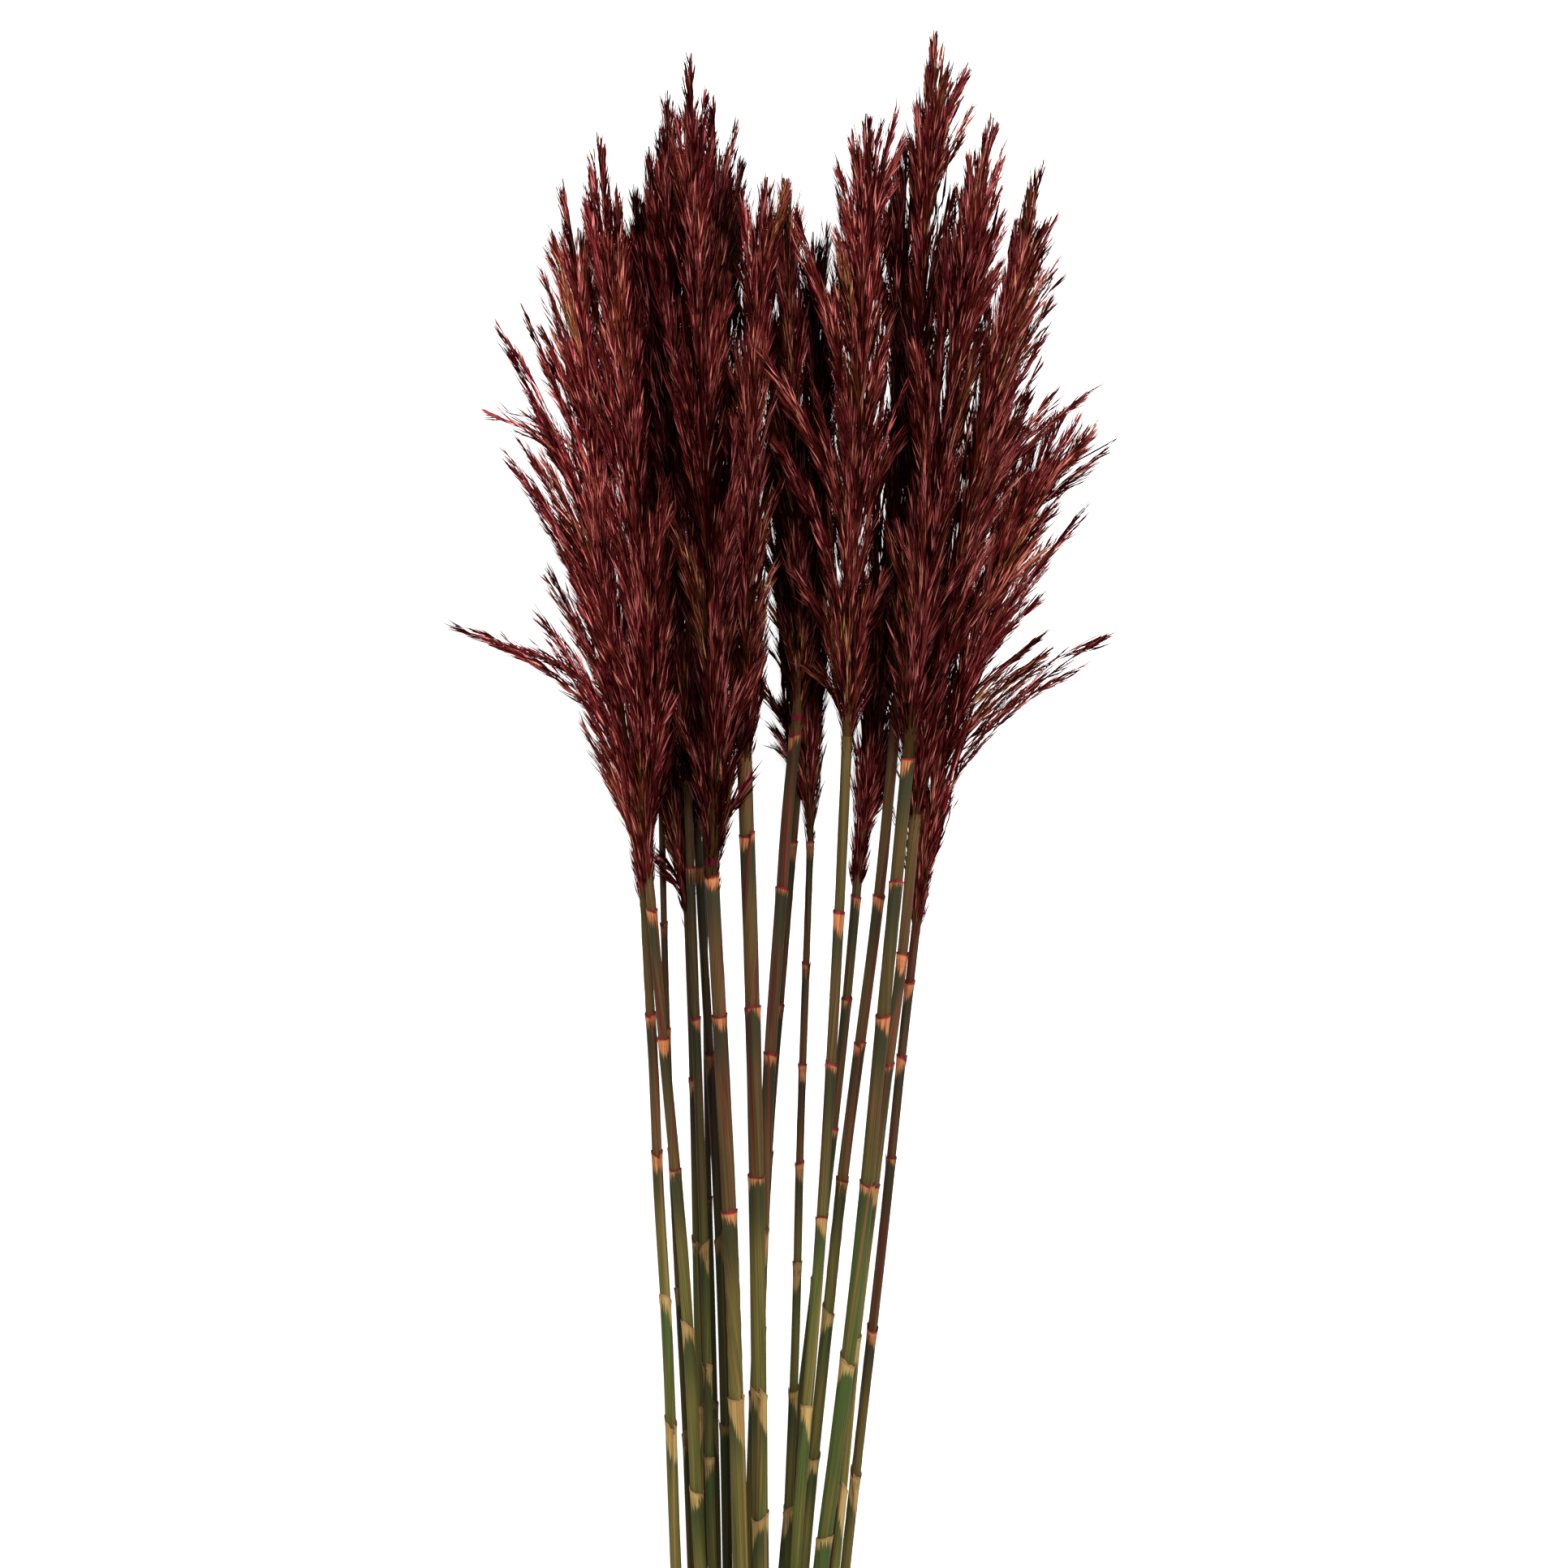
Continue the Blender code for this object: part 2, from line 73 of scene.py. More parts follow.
# Branches, in bundles that fill the plume's body and stand round its neck
BRANCH_STEPS = 6
BRANCH_SIDES = 3
ROOT_RADIUS = 0.34
TIP_RADIUS = 0.15
FLOOR_GAP = 0.15
LOWEST_BRANCH = ROOT_RADIUS + FLOOR_GAP
BRANCH_ROOTS = (-0.05, 0.95)
SHORTEST_BRANCH = 0.05
BRANCH_BEND = 0.85
BRANCH_WAVE = 0.7
BUNDLE_BRANCHES = 4
START_SPREAD = 0.012
END_SPREAD = 0.03
TURN_SPREAD = 0.2
OUT_SPREAD = 0.09
HUE_SPREAD = 0.05
BODY_BUNDLES = 16
BODY_REACH = (0.2, 0.45)
BODY_FLATNESS = 0.6
BODY_BARE = (0, 0.16)
NEAREST_END = 0.2
NECK_BUNDLES = 7
NECK_START = (-0.03, 0.05)
NECK_REACH = (0.08, 0.24)
NECK_OUT = (0.4, 0.95)
NECK_HUES = (0.2, 0.9)
NECK_WIDTHS = {"12": 0.35, "14": 0.7, "18": 0.5}

# How wide a plume is, as a share of its full width
SPINDLE_PLACES = (0, 0.05, 0.12, 0.22, 0.42, 0.7, 0.86, 0.95, 1)
SPINDLE_WIDTHS = (0.15, 0.42, 0.66, 0.86, 1, 0.95, 0.72, 0.42, 0.1)

# Locks, the branches that the outline shows, and the finer ones that go with each. The stray of a
# fine lock's tip is in x, y and z.
LOCK_STRAIGHTNESS = 0.8
STRAIGHTER_LOCKS = {"01": 1.5, "18": 1.5}
LOCK_DENSITY = 2.2
LOCK_BARE = (0.05, 0.2)
FINE_LOCKS = (2, 5)
FINE_LOCK_STEP = 11
FINE_LOCK_START = (-0.12, 0.2)
FINE_LOCK_AIM = (0.6, 0.97)
FINE_LOCK_STRAY = (2.2, 1.5, 1.6)
FINE_LOCK_DENSITY = 1.2
FILL_BRANCHES = 3
FILL_START = (0, 0.25)
FILL_AIM = (0.55, 0.95)
FILL_ASIDE = (0.2, 0.85)
FILL_REACH = 22
FILL_RISE = 15

# The plume's own axis: the branch that carries its crest, and the stalk with its magenta node.
# The places of the nodes are heights, and TUBE_UP is a direction that no branch takes.
CREST_START = 0.06
CREST_DENSITY = 3.0
CREST_HUE = 0.3
STALK_SIDES = 7
STALK_STEPS = 16
STALK_STEP_POWER = 1.5
STALK_INSET = 2
STALK_PLACES = (0, 0.06, 0.25, 1)
STALK_SIZES = (1, 0.9, 0.4, 0.12)
STALK_TONE = 0.3
STALK_HUE = 2
STALK_HUE_FADE = 4
STALK_NODES = {"08": 69, "10": 122}
STALK_NODE_LENGTH = 3
STALK_NODE_EDGES = (-1, -0.6, 0.6, 1)
STALK_NODE_CORE = 0.4
STALK_NODE_SIZE = 1.12
MAGENTA_HUE = 3
TUBE_UP = (0.1, 0.2, 1)

# Twigs, the short straight side branches. A pull is how much more they point away from the axis
# than at random.
TWIG_WIDTH = 0.36
TWIG_SPACING = 11
TWIG_LENGTH = (12, 24, 42)
TWIG_LEAN = (1, 5, 12)
TWIG_PULL = 0.9
LAST_TWIG = 0.96
TWIG_BARE = 0.06
TWIG_SPIKELETS = 0.72

# Spikelets
SPIKELET_LENGTH = (5.5, 8.5, 13)
SPIKELET_WIDTH = (0.28, 0.7)
SPIKELET_WIDEST = 0.4
SPIKELET_KEEL = 0.5
SPIKELET_LEAN = (1, 6, 17)
SPIKELET_PULL = 0.7
PAST_TIP = 1

# Hairs on the stalk: fine fuzz round every neck, and a cover that hides most of them
FUZZ = {"number": 90, "reach": (-9, 24), "lengths": (4, 9), "width": 0.26}
FUZZ_HUES = (0.6, 1)
FUZZ_TONES = (0.3, 0.8)
NECK_COVER = {"number": 330, "reach": (-3, 32), "lengths": (6, 12), "width": 0.55}
LOW_NECK_COVER = {**NECK_COVER, "number": 480, "reach": (-15, 32)}
LOW_NECKS = ("02", "14")
BARE_NECKS = ("08", "10", "12", "13", "16")
HAIR_LEAN = (3, 18)
HAIR_ROOT = 0.9

# Painted shade: broad dark blades inside the plume, which stand in for the shade deep in it.
# Their reach across and their depth are shares of its width.
SHADE_BLADES = 240
SHADE_BLADE_REACH = (0.03, 0.86)
SHADE_BLADE_ACROSS = 0.82
SHADE_BLADE_DEPTH = (0.2, 0.75)
SHADE_BLADE_LENGTH = (11, 22)
SHADE_BLADE_WIDTH = (0.9, 1.9)
SHADE_BLADE_FAN = 0.07
SHADE_BLADE_STRAY = 0.03
SHADE_BLADE_TONE = 0.3
SHADE_BLADE_DARKENING = 0.5

# Hues and tones, and how they vary. The two numbers for spikelets are a gamma's shape and scale.
HUES = (0, 0.16, 0.74)
BRANCH_HUES = (0.3, 1)
BRANCH_TONE = 0.5
BRANCH_TONE_SPREAD = 0.12
TWIG_HUE_SPREAD = 0.12
TWIG_TONE = 0.3
TWIG_TONE_SPREAD = 0.15
SPIKELET_HUE_SPREAD = 0.15
SPIKELET_TONE = 0.14
SPIKELET_TONE_GAMMA = (1.2, 0.27)

# Shade: on the side of a plume towards the floor, less at its tip, and more deep in the bunch
UNDERSIDE_SHADE = 0.9
UNDERSIDE_FROM = 0.54
UNDERSIDE_REACH = 1.4
TIP_LIGHT = 0.45
TIP_LIGHT_FROM = (0.5, 0.85)
DEPTH_CELL = 3
DEPTH_BLUR = 3
DEPTH_FROM = 7
DEPTH_REACH = 20
DEPTH_SHADE = 0.95

# Culms: the skin of sheaths and the cut end
CULM_COLUMNS = 14
COLUMN_SHARES = np.arange(CULM_COLUMNS + 1) / CULM_COLUMNS
WALL_SHARE = 0.62
HOLLOW_DEPTH = 7
CUT_DEPTH = 0.2
SHEATH_INSET = 9
SHEATH_ROW_STEP = 12
SHEATH_OVERLAP = 0.05
SHEATH_TAPER = 0.07
TWIST = 0.012
SLANTED_SHARE = 0.3
SLANTED_TWIST = 0.045

# The sheaths' rims, and the pale patches under them, in distances from the rim
OPEN_NECKS = ("08", "12", "16")
RIM_ROWS = (8, 5, 3, 1.6, 0.7, 0.2)
RIM_FLARE = 0.3
RIM_SLANT = (0.1, 0.8)
RIM_DIP = (0.4, 2.4)
RIM_DIP_SHARE = 0.3
RIM_SPACING_UNSEEN = 78
LOWEST_RIM = 18
TOOTH_LENGTH = 0.9
SEAM_TOOTH = 1.1
NO_RIM_NEAR = 60.0
PATCH_SIZE = (3.5, 9.5)
PATCH_TILT = 0.38
LOW_PATCHES_UNDER = -60
LOW_PATCH_MORE = (2, 16)
LOW_SLANT = 3

# Where lips are red, how much further down brown reaches, and how brown a culm is
RED_LIPS_OVER = -72
BROWN_FURTHER = {"08": 20, "18": 75}
BROWN_STAINS = {"08": 0.95, "10": 0.9, "18": 1.3}

# Colours, as linear red, green and blue, and the plumes' colours by tone
CRIMSON = (
    (0.0, (0.0018, 0.0001, 0.0002)),
    (0.3, (0.0145, 0.0008, 0.0011)),
    (0.55, (0.05, 0.0041, 0.0051)),
    (0.8, (0.122, 0.0172, 0.0182)),
    (1.0, (0.24, 0.064, 0.061)),
)
BRICK = (
    (0.0, (0.0022, 0.0003, 0.0001)),
    (0.3, (0.0155, 0.0016, 0.0009)),
    (0.55, (0.052, 0.0076, 0.0041)),
    (0.8, (0.125, 0.029, 0.0162)),
    (1.0, (0.24, 0.088, 0.052)),
)
OLIVE = (
    (0.0, (0.0025, 0.0008, 0.0002)),
    (0.5, (0.028, 0.011, 0.0025)),
    (0.8, (0.08, 0.038, 0.011)),
    (1.0, (0.17, 0.095, 0.035)),
)
MAGENTA = (0.075, 0.006, 0.014)
TAN_TIP = (0.09, 0.025, 0.018)
UPPER_OLIVE = (0.031, 0.0215, 0.0065)
UPPER_BROWN = (0.043, 0.0205, 0.0078)
UPPER_RED = (0.034, 0.009, 0.005)
LOWER_GREEN = (0.025, 0.034, 0.0075)
LOWER_STRAW = (0.052, 0.042, 0.0105)
BRIGHT_GREEN = (0.022, 0.036, 0.0085)
DEEP_GREEN = (0.0115, 0.0178, 0.0058)
DEEP_OLIVE = (0.0095, 0.0112, 0.0052)
PALE_STRAW = (0.19, 0.125, 0.042)
PALE_ORANGE = (0.23, 0.08, 0.03)
FADED_STRAW = (0.11, 0.065, 0.018)
FADED_ORANGE = (0.1, 0.027, 0.01)
STRAW_LIP = (0.13, 0.075, 0.035)
RED_LIP = (0.105, 0.005, 0.012)
DARK_LIP = (0.035, 0.004, 0.005)
STRAW_SEAM = (0.14, 0.075, 0.03)
RED_SEAM = (0.1, 0.012, 0.01)
PAPER = (0.39, 0.39, 0.39)
PALE_PAPER = (0.41, 0.41, 0.41)


class Reed(NamedTuple):
    """One reed: x from the bunch's middle line, y from its mid-length, z up.

    culm is the centre line from the cut foot to the neck, and crest goes on from there to the
    plume's tip. radii are the culm's at the foot and the neck, and rims the places of its sheath
    rims. body is the plume's half width and spikelets their number. shade is 1 for the plumes deep
    behind, 0 for those in front and under 0 for the brightest, and culm_shade the same for the
    culm. A lock is (y where it leaves the axis, x and y of its tip, tip's height over the root).
    """

    number: str
    culm: tuple
    radii: tuple
    rims: tuple
    crest: tuple
    body: float
    spikelets: int
    shade: float
    culm_shade: float
    locks: tuple

    @property
    def foot(self):
        return self.culm[0][1]

    @property
    def neck(self):
        return self.culm[-1][1]

    @property
    def tip(self):
        return self.crest[-1][1]


REEDS = (
    Reed(
        number="01", radii=(2.4, 1.8), body=9, spikelets=12800, shade=-0.8, culm_shade=0.1,
        culm=((-29, -375.5, 7.5), (-38.2, -192.6, 14), (-41.4, -104.7, 17.5), (-44.7, -47.7, 21),
            (-46.2, -8.7, 23.5), (-48.2, 27.3, 26), (-49.5, 56.5, 28)),
        rims=(-139, -94, -38.5, 12.5),
        crest=((-54, 99, 28), (-61, 147, 27), (-66, 195, 26), (-70, 243, 25), (-74, 285, 24),
            (-80, 322, 23)),
        locks=((111, -124, 157, 0), (92, -90, 164, 6), (108, -86, 180, -5), (126, -81, 186, 8),
            (147, -102, 222, 0), (204, -110, 236, 4), (156, -96, 225, 3), (177, -98, 250, -4),
            (180, -105, 270, 2), (195, -95, 275, 6), (219, -88, 289, -2), (237, -84, 302, 4),
            (66, -73, 122, -3), (261, -70, 309, 3), (140, -92, 212, 0), (152, -88, 222, 2),
            (147, -62, 215, 2), (170, -64, 240, 2), (85, -72, 128, 2), (262, -84, 303, 2),
            (215, -88, 268, 2)),
    ),
    Reed(
        number="02", radii=(2.8, 1.8), body=12, spikelets=13600, shade=0.0, culm_shade=0.1,
        culm=((-21.5, -375.5, 13.5), (-29, -192.5, 22), (-35, -80.5, 29), (-42.5, 4, 36),
            (-48.5, 74, 41)),
        rims=(-164, -103, -44.5, 4, 51.5),
        crest=((-47, 117, 42), (-48, 159, 42), (-52, 201, 41), (-57, 243, 40), (-62, 285, 38),
            (-67, 338, 36)),
        locks=((87, -40, 132, 4), (99, -67, 159, 6), (117, -62, 195, 8), (147, -41, 210, 6),
            (195, -60, 317, 4), (219, -70, 312, 6), (243, -64, 316, 2), (129, -36, 201, -4),
            (130, -62, 208, 3)),
    ),
    Reed(
        number="03", radii=(1.6, 1.2), body=6, spikelets=5800, shade=0.6, culm_shade=0.8,
        culm=((-27.5, -375.5, 1.5), (-32.7, -192.6, 5), (-35.2, -128.7, 6.5), (-37.8, -80.7, 8),
            (-41.7, 12.3, 10.5), (-44, 116.5, 14)),
        rims=(-144.5, -91, -38, 6.5, 46),
        crest=((-44, 159, 13.5), (-46, 201, 13), (-48, 243, 13), (-51, 282, 12.5), (-54, 321, 12)),
        locks=((219, -59, 306, 2), (237, -49, 309, 4), (255, -57, 303, -3), (273, -51, 317, 0)),
    ),
    Reed(
        number="04", radii=(1.8, 1.6), body=8, spikelets=8700, shade=0.42, culm_shade=0.6,
        culm=((-22.5, -375.5, 6.5), (-28, -192.5, 11), (-30, -92.5, 14), (-32, 6.5, 18),
            (-33.5, 50.5, 20)),
        rims=(-134.5, -71.5, -12.5),
        crest=((-38, 87, 21), (-40, 123, 22), (-42, 165, 23), (-44, 207, 24), (-45, 249, 24),
            (-46, 288, 24), (-48, 334, 23)),
        locks=((57, -43, 79, 4), (69, -44, 110, -4), (243, -54, 304, 2), (258, -43, 322, 4),
            (279, -47, 332, 3), (53, -46, 74, 2), (52, -44.5, 66, 3)),
    ),
    Reed(
        number="05", radii=(1.8, 1.6), body=9, spikelets=9500, shade=0.5, culm_shade=0.6,
        culm=((-16, -375.5, 12), (-24.5, -192.5, 17), (-27.5, -74, 24), (-30.5, 11, 30),
            (-33.5, 98.5, 34)),
        rims=(-152.5, -118, -74, 11, 67),
        crest=((-35, 141, 34), (-37, 183, 33), (-38, 225, 33), (-39, 267, 32), (-40, 309, 31),
            (-41, 354, 30)),
        locks=((177, -48, 252, 4), (231, -44, 297, 6), (267, -40, 342, 2), (285, -44, 323, 2)),
    ),
    Reed(
        number="06", radii=(1.3, 1), body=6, spikelets=6200, shade=0.8, culm_shade=0.95,
        culm=((-23, -375.5, 1.5), (-22.5, -192.5, 3), (-24.5, -104.5, 5), (-26.5, -32.5, 7),
            (-27.5, 86.5, 10)),
        rims=(-134, -56.5),
        crest=((-26, 132, 10), (-24, 177, 9), (-22, 219, 9), (-20, 261, 9), (-18, 297, 9),
            (-14, 332, 9)),
        locks=((243, -15, 327, 2), (261, -17, 312, 2), (267, -12, 311, 0)),
    ),
    Reed(
        number="07", radii=(2.1, 1.6), body=7, spikelets=7000, shade=0.55, culm_shade=0.9,
        culm=((-17.5, -375.5, 2), (-19, -192.5, 7), (-22, -71, 10.5), (-26.5, 12.5, 13.5),
            (-30.5, 86.5, 17)),
        rims=(-140.5, -71, -2.5, 67),
        crest=((-29, 129, 19), (-27, 177, 21), (-26, 225, 22), (-25, 267, 23), (-23, 309, 23),
            (-24, 353, 23)),
        locks=((261, -16, 344, 3), (249, -15, 323, 2), (279, -19, 333, -2)),
    ),
    Reed(
        number="08", radii=(3.2, 2.6), body=13, spikelets=15300, shade=0.45, culm_shade=0.25,
        culm=((-11, -375.5, 16), (-14, -192.6, 30), (-17.5, -71.7, 40), (-21.1, 3.3, 47),
            (-24.3, 64, 53)),
        rims=(-128.5, -59.5, 13),
        crest=((-23, 102, 54), (-24, 147, 54), (-26, 192, 53), (-28, 237, 52), (-30, 282, 50),
            (-31, 327, 48), (-32, 366, 46)),
        locks=((71, -8, 103, 5), (72, -10, 123, -3), (87, -6, 147, 4), (72, -36, 123, 4),
            (117, -38, 195, 6), (141, -16, 207, 8), (195, -40, 261, 5), (201, -18, 285, 6),
            (267, -37, 345, 4), (288, -27, 354, 3), (273, -24, 339, 2), (95, -18, 160, 0),
            (120, -17, 195, 0), (140, -16, 215, 2)),
    ),
    Reed(
        number="09", radii=(3.1, 2.8), body=8.5, spikelets=9900, shade=0.36, culm_shade=0.25,
        culm=((-4, -375.5, 14), (-6.5, -192.5, 22), (-8, -56.5, 32), (-9.5, 15.5, 38),
            (-12.5, 107.5, 45)),
        rims=(-173.5, -127, -47, 15.5, 79.5),
        crest=((-12, 147, 46), (-11, 192, 45), (-9, 237, 44), (-8, 273, 43), (-6, 297, 42),
            (-4, 321, 41)),
        locks=((129, -3, 177, 2), (159, 1, 210, 0), (195, -15, 258, 4), (261, 4, 320, 2),
            (243, -13, 315, 4), (267, 0, 300, 0), (117, -7, 150, 4), (150, -16, 205, 3),
            (175, -17, 236, 3)),
    ),
    Reed(
        number="10", radii=(2.6, 2.2), body=5, spikelets=6200, shade=0.42, culm_shade=0.4,
        culm=((-15.5, -375.5, 7), (-10.5, -192.6, 12), (-5.5, -56.7, 18), (-2.7, 3.3, 21.5),
            (0.6, 48.3, 24), (3.4, 87.3, 27.5), (6.7, 119.5, 30)),
        rims=(-130, -68.5, -2.5, 59, 116),
        crest=((8, 153, 30), (7, 189, 29), (6, 225, 28), (5, 261, 27), (3, 291, 26), (2, 322, 25)),
        locks=((132, -4, 166, 2), (255, -2, 310, 2), (267, 7, 314, 3), (177, 0, 243, 2)),
    ),
    Reed(
        number="11", radii=(1.7, 1.4), body=8, spikelets=7000, shade=0.85, culm_shade=0.8,
        culm=((-11, -375.5, 1.5), (-8, -192.6, 5), (-5.4, -80.7, 7.5), (-3.1, -32.7, 9),
            (2.2, 33.3, 11), (7.5, 98.5, 14)),
        rims=(-104.5, -40, 15.5, 76),
        crest=((7.3, 129, 11.5), (5.5, 165, 10), (4, 201, 9), (2, 237, 9), (1, 272, 9)),
        locks=((105, -8, 137, 2), (117, -1, 152, -1), (219, -5, 282, 2), (100, -5, 121, 1),
            (102, 0, 131, 1), (99, -3, 112, 0), (165, -5.5, 232, 0), (150, -4, 215, 0),
            (130, -7, 190, 0)),
    ),
    Reed(
        number="12", radii=(2.1, 1.3), body=5, spikelets=6200, shade=0.5, culm_shade=0.62,
        culm=((-2, -375.5, 8), (3, -192.6, 14), (6.5, -104.7, 16), (8.2, -32.7, 17),
            (10.2, 27.3, 17), (11.9, 76, 17)),
        rims=(-172.5, -127, -80, -43, -6.5, 31),
        crest=((12, 111, 17), (13, 147, 16), (14, 189, 15), (14, 231, 15), (14, 267, 14),
            (13, 303, 14)),
        locks=((84, -1, 116, 2), (87, 6, 124, 2), (249, 18, 306, 2), (231, 9, 285, 0),
            (185, 20, 245, 0), (165, 19, 225, 0), (200, 20, 262, 0), (225, 21, 285, 0)),
    ),
    Reed(
        number="13", radii=(2.3, 1.9), body=13, spikelets=14400, shade=0.25, culm_shade=0.1,
        culm=((2.5, -375.5, 15), (6.5, -192.6, 24), (16, -62.7, 34), (19.6, -2.7, 38.5),
            (23, 63.3, 44), (25.3, 115, 48)),
        rims=(-132.5, -62, -5.5, 50.5),
        crest=((26, 147, 49), (28, 189, 49), (30, 237, 48), (32, 282, 46), (33, 312, 45),
            (32, 344, 44)),
        locks=((120, 8, 141, 4), (126, 4, 177, 2), (147, -2, 225, 5), (171, -6, 256, 4),
            (207, 6, 309, 2), (129, 40, 177, 2), (177, 47, 246, 4), (255, 22, 326, 3),
            (273, 27, 338, 4), (279, 43, 346, 2), (291, 47, 337, 0), (156, 15, 240, 3),
            (183, 22, 263, 4), (192, 40, 263, 4), (245, 21, 303, 0), (235, 22, 290, -2)),
    ),
    Reed(
        number="14", radii=(1.9, 1.8), body=9, spikelets=10300, shade=0.15, culm_shade=0.6,
        culm=((-7, -375.5, 2), (2, -192.5, 6), (14.5, -83.5, 9), (25.5, 17.5, 12), (30.5, 73, 14)),
        rims=(-172.5, -86.5, -30.5, 17.5, 56),
        crest=((35, 108, 14), (39, 147, 14), (42, 189, 14), (44, 231, 14), (45, 273, 14),
            (47, 306, 13), (48, 338, 13)),
        locks=((79, 36, 127, 2), (78, 38, 104, 3), (77, 40, 117, -3), (273, 44, 330, 2),
            (243, 38, 288, 0), (120, 36, 190, 0), (110, 33, 176, 2), (262, 40, 312, 2),
            (74, 37, 98, 0), (78, 43, 110, 0), (84, 44, 118, 0), (73, 36, 84, 1), (74, 41, 96, 1),
            (76, 43, 104, 1)),
    ),
    Reed(
        number="15", radii=(2.4, 2), body=9, spikelets=9900, shade=0.38, culm_shade=0.35,
        culm=((-1, -375.5, 2), (9.5, -192.6, 10), (18, -104.7, 15.5), (24.3, -44.7, 20.5),
            (29.7, -2.7, 24), (36.3, 48.3, 28.5), (44.1, 128, 34)),
        rims=(-152, -98, -49, 2, 56),
        crest=((47, 171, 34), (50, 219, 33), (53, 267, 32), (55, 309, 31), (57, 345, 30),
            (58, 375, 29)),
        locks=((303, 72, 349, 2), (318, 70, 364, 3), (297, 51, 350, 2), (279, 49, 338, -2),
            (243, 65, 318, 2), (318, 63, 365, 2), (325, 61, 363, 1), (300, 64, 352, 2)),
    ),
    Reed(
        number="16", radii=(3.2, 2.4), body=12, spikelets=14000, shade=0.42, culm_shade=0.25,
        culm=((8, -375.5, 8), (15.8, -192.6, 26), (20.9, -152.7, 30), (26.8, -104.7, 35),
            (32.9, -47.7, 40.5), (37.1, -2.7, 45), (42.3, 51.3, 50), (47.5, 107, 55)),
        rims=(-181, -115, -49, 12.5, 62),
        crest=((50, 141, 56), (55, 183, 56), (60, 228, 55), (66, 267, 53), (72, 303, 51),
            (79, 342, 49)),
        locks=((117, 43, 150, 4), (135, 44, 195, 5), (177, 49, 261, 6), (129, 65, 177, 6),
            (249, 83, 308, 3), (267, 82, 330, 3), (279, 70, 330, 4), (231, 82, 291, 5)),
    ),
    Reed(
        number="17", radii=(2.2, 2), body=10, spikelets=12400, shade=0.3, culm_shade=0.2,
        culm=((4.5, -375.5, 2), (20.9, -192.6, 14), (24.6, -152.7, 17.5), (28.3, -110.7, 21.5),
            (34.7, -56.7, 27), (39.9, -11.7, 32), (45.6, 33.3, 36.5), (50.5, 86.5, 42)),
        rims=(-164.5, -107.5, -50.5, -5.5, 35.5),
        crest=((55, 123, 42), (62, 165, 41), (70, 207, 40), (80, 249, 38), (89, 285, 36),
            (98, 328, 34)),
        locks=((159, 97, 255, 2), (189, 99, 266, 4), (219, 102, 278, 2), (243, 104, 292, 3),
            (261, 103, 308, 2), (255, 88, 306, 3), (141, 93, 244, 0), (183, 116, 243, 3),
            (174, 103, 244, 6), (156, 89, 222, 2), (120, 76, 172, 2), (132, 79, 190, 2),
            (150, 80, 200, 3), (165, 84, 235, 0), (250, 95, 308, 1), (150, 92, 219, 2),
            (225, 78, 278, 2)),
    ),
    Reed(
        number="18", radii=(2.2, 1.7), body=8, spikelets=10300, shade=0.05, culm_shade=0.4,
        culm=((11, -375.5, 2), (25.2, -192.6, 8), (30.3, -146.7, 10), (39.5, -65.7, 14),
            (47.5, 12.3, 18), (51.5, 47.5, 20)),
        rims=(-158.5, -104.5, -41, -3.5, 24.5),
        crest=((55, 78, 20), (61, 108, 20), (69, 138, 19), (77, 169, 18), (89, 197, 17),
            (104, 217, 16), (126, 226, 15)),
        locks=((93, 125, 154, 0), (108, 102, 148, 5), (117, 100, 154, -4), (126, 99, 169, 3),
            (132, 116, 202, 0), (183, 119, 233, 2), (159, 106, 207, -4), (147, 99, 194, 4),
            (63, 63, 98, 3), (153, 89, 219, 8), (147, 105, 218, 4), (141, 96, 210, 6),
            (170, 108, 238, 3), (160, 96, 226, 4), (190, 112, 234, 2)),
    ),
)


def point_at(line, y):
    """The points at heights y of the smooth line through the given points, which rise in y."""
    line = np.array(line, float)
    heights = line[:, 1]
    slopes = np.gradient(line, heights, axis=0)
    y = np.asarray(y, float)
    below = np.clip(np.searchsorted(heights, y) - 1, 0, len(line) - 2)
    step = (heights[below + 1] - heights[below])[..., None]
    t = (y - heights[below])[..., None] / step
    return (
        (2 * t**3 - 3 * t**2 + 1) * line[below]
        + (t**3 - 2 * t**2 + t) * step * slopes[below]
        + (3 * t**2 - 2 * t**3) * line[below + 1]
        + (t**3 - t**2) * step * slopes[below + 1]
    )


def unit(vectors):
    return vectors / np.maximum(np.linalg.norm(vectors, axis=-1, keepdims=True), 1e-9)


def axes_at(line, y):
    """The line's own directions at heights y: along it, to its right, and away from the floor."""
    along = unit(point_at(line, y + 1) - point_at(line, y - 1))
    right = unit(np.cross(along, (0, 0, 1)))
    return along, right, np.cross(right, along)


def tube_faces(rings, sides):
    """The triangles of one closed tube, whose points go round it ring by ring."""
    row = np.arange(rings - 1)[:, None] * sides
    here = np.arange(sides)
    ahead = (here + 1) % sides
    corners = (row + here, row + ahead, row + sides + ahead, row + sides + here)
    a, b, c, d = (corner.ravel() for corner in corners)
    fan = np.arange(1, sides - 1)
    start = np.stack([np.zeros_like(fan), fan, fan + 1], 1)
    end = start[:, ::-1] + (rings - 1) * sides
    return np.concatenate([np.stack([a, c, b], 1), np.stack([a, d, c], 1), start, end])


def tubes(paths, radii, sides):
    """Points, triangles and each point's share of the way, for one closed tube along each path."""
    count, steps = paths.shape[:2]
    along = unit(np.gradient(paths, axis=1))
    right = unit(np.cross(along, TUBE_UP))
    over = np.cross(right, along)
    turn = np.arange(sides)[:, None] / sides * FULL_TURN
    ring = right[:, :, None] * np.cos(turn) + over[:, :, None] * np.sin(turn)
    points = paths[:, :, None] + ring * radii[:, :, None, None]
    faces = tube_faces(steps, sides)[None] + np.arange(count)[:, None, None] * steps * sides
    share = np.broadcast_to(np.linspace(0, 1, steps)[None, :, None], points.shape[:3])
    return points.reshape(-1, 3), faces.reshape(-1, 3), share.ravel()


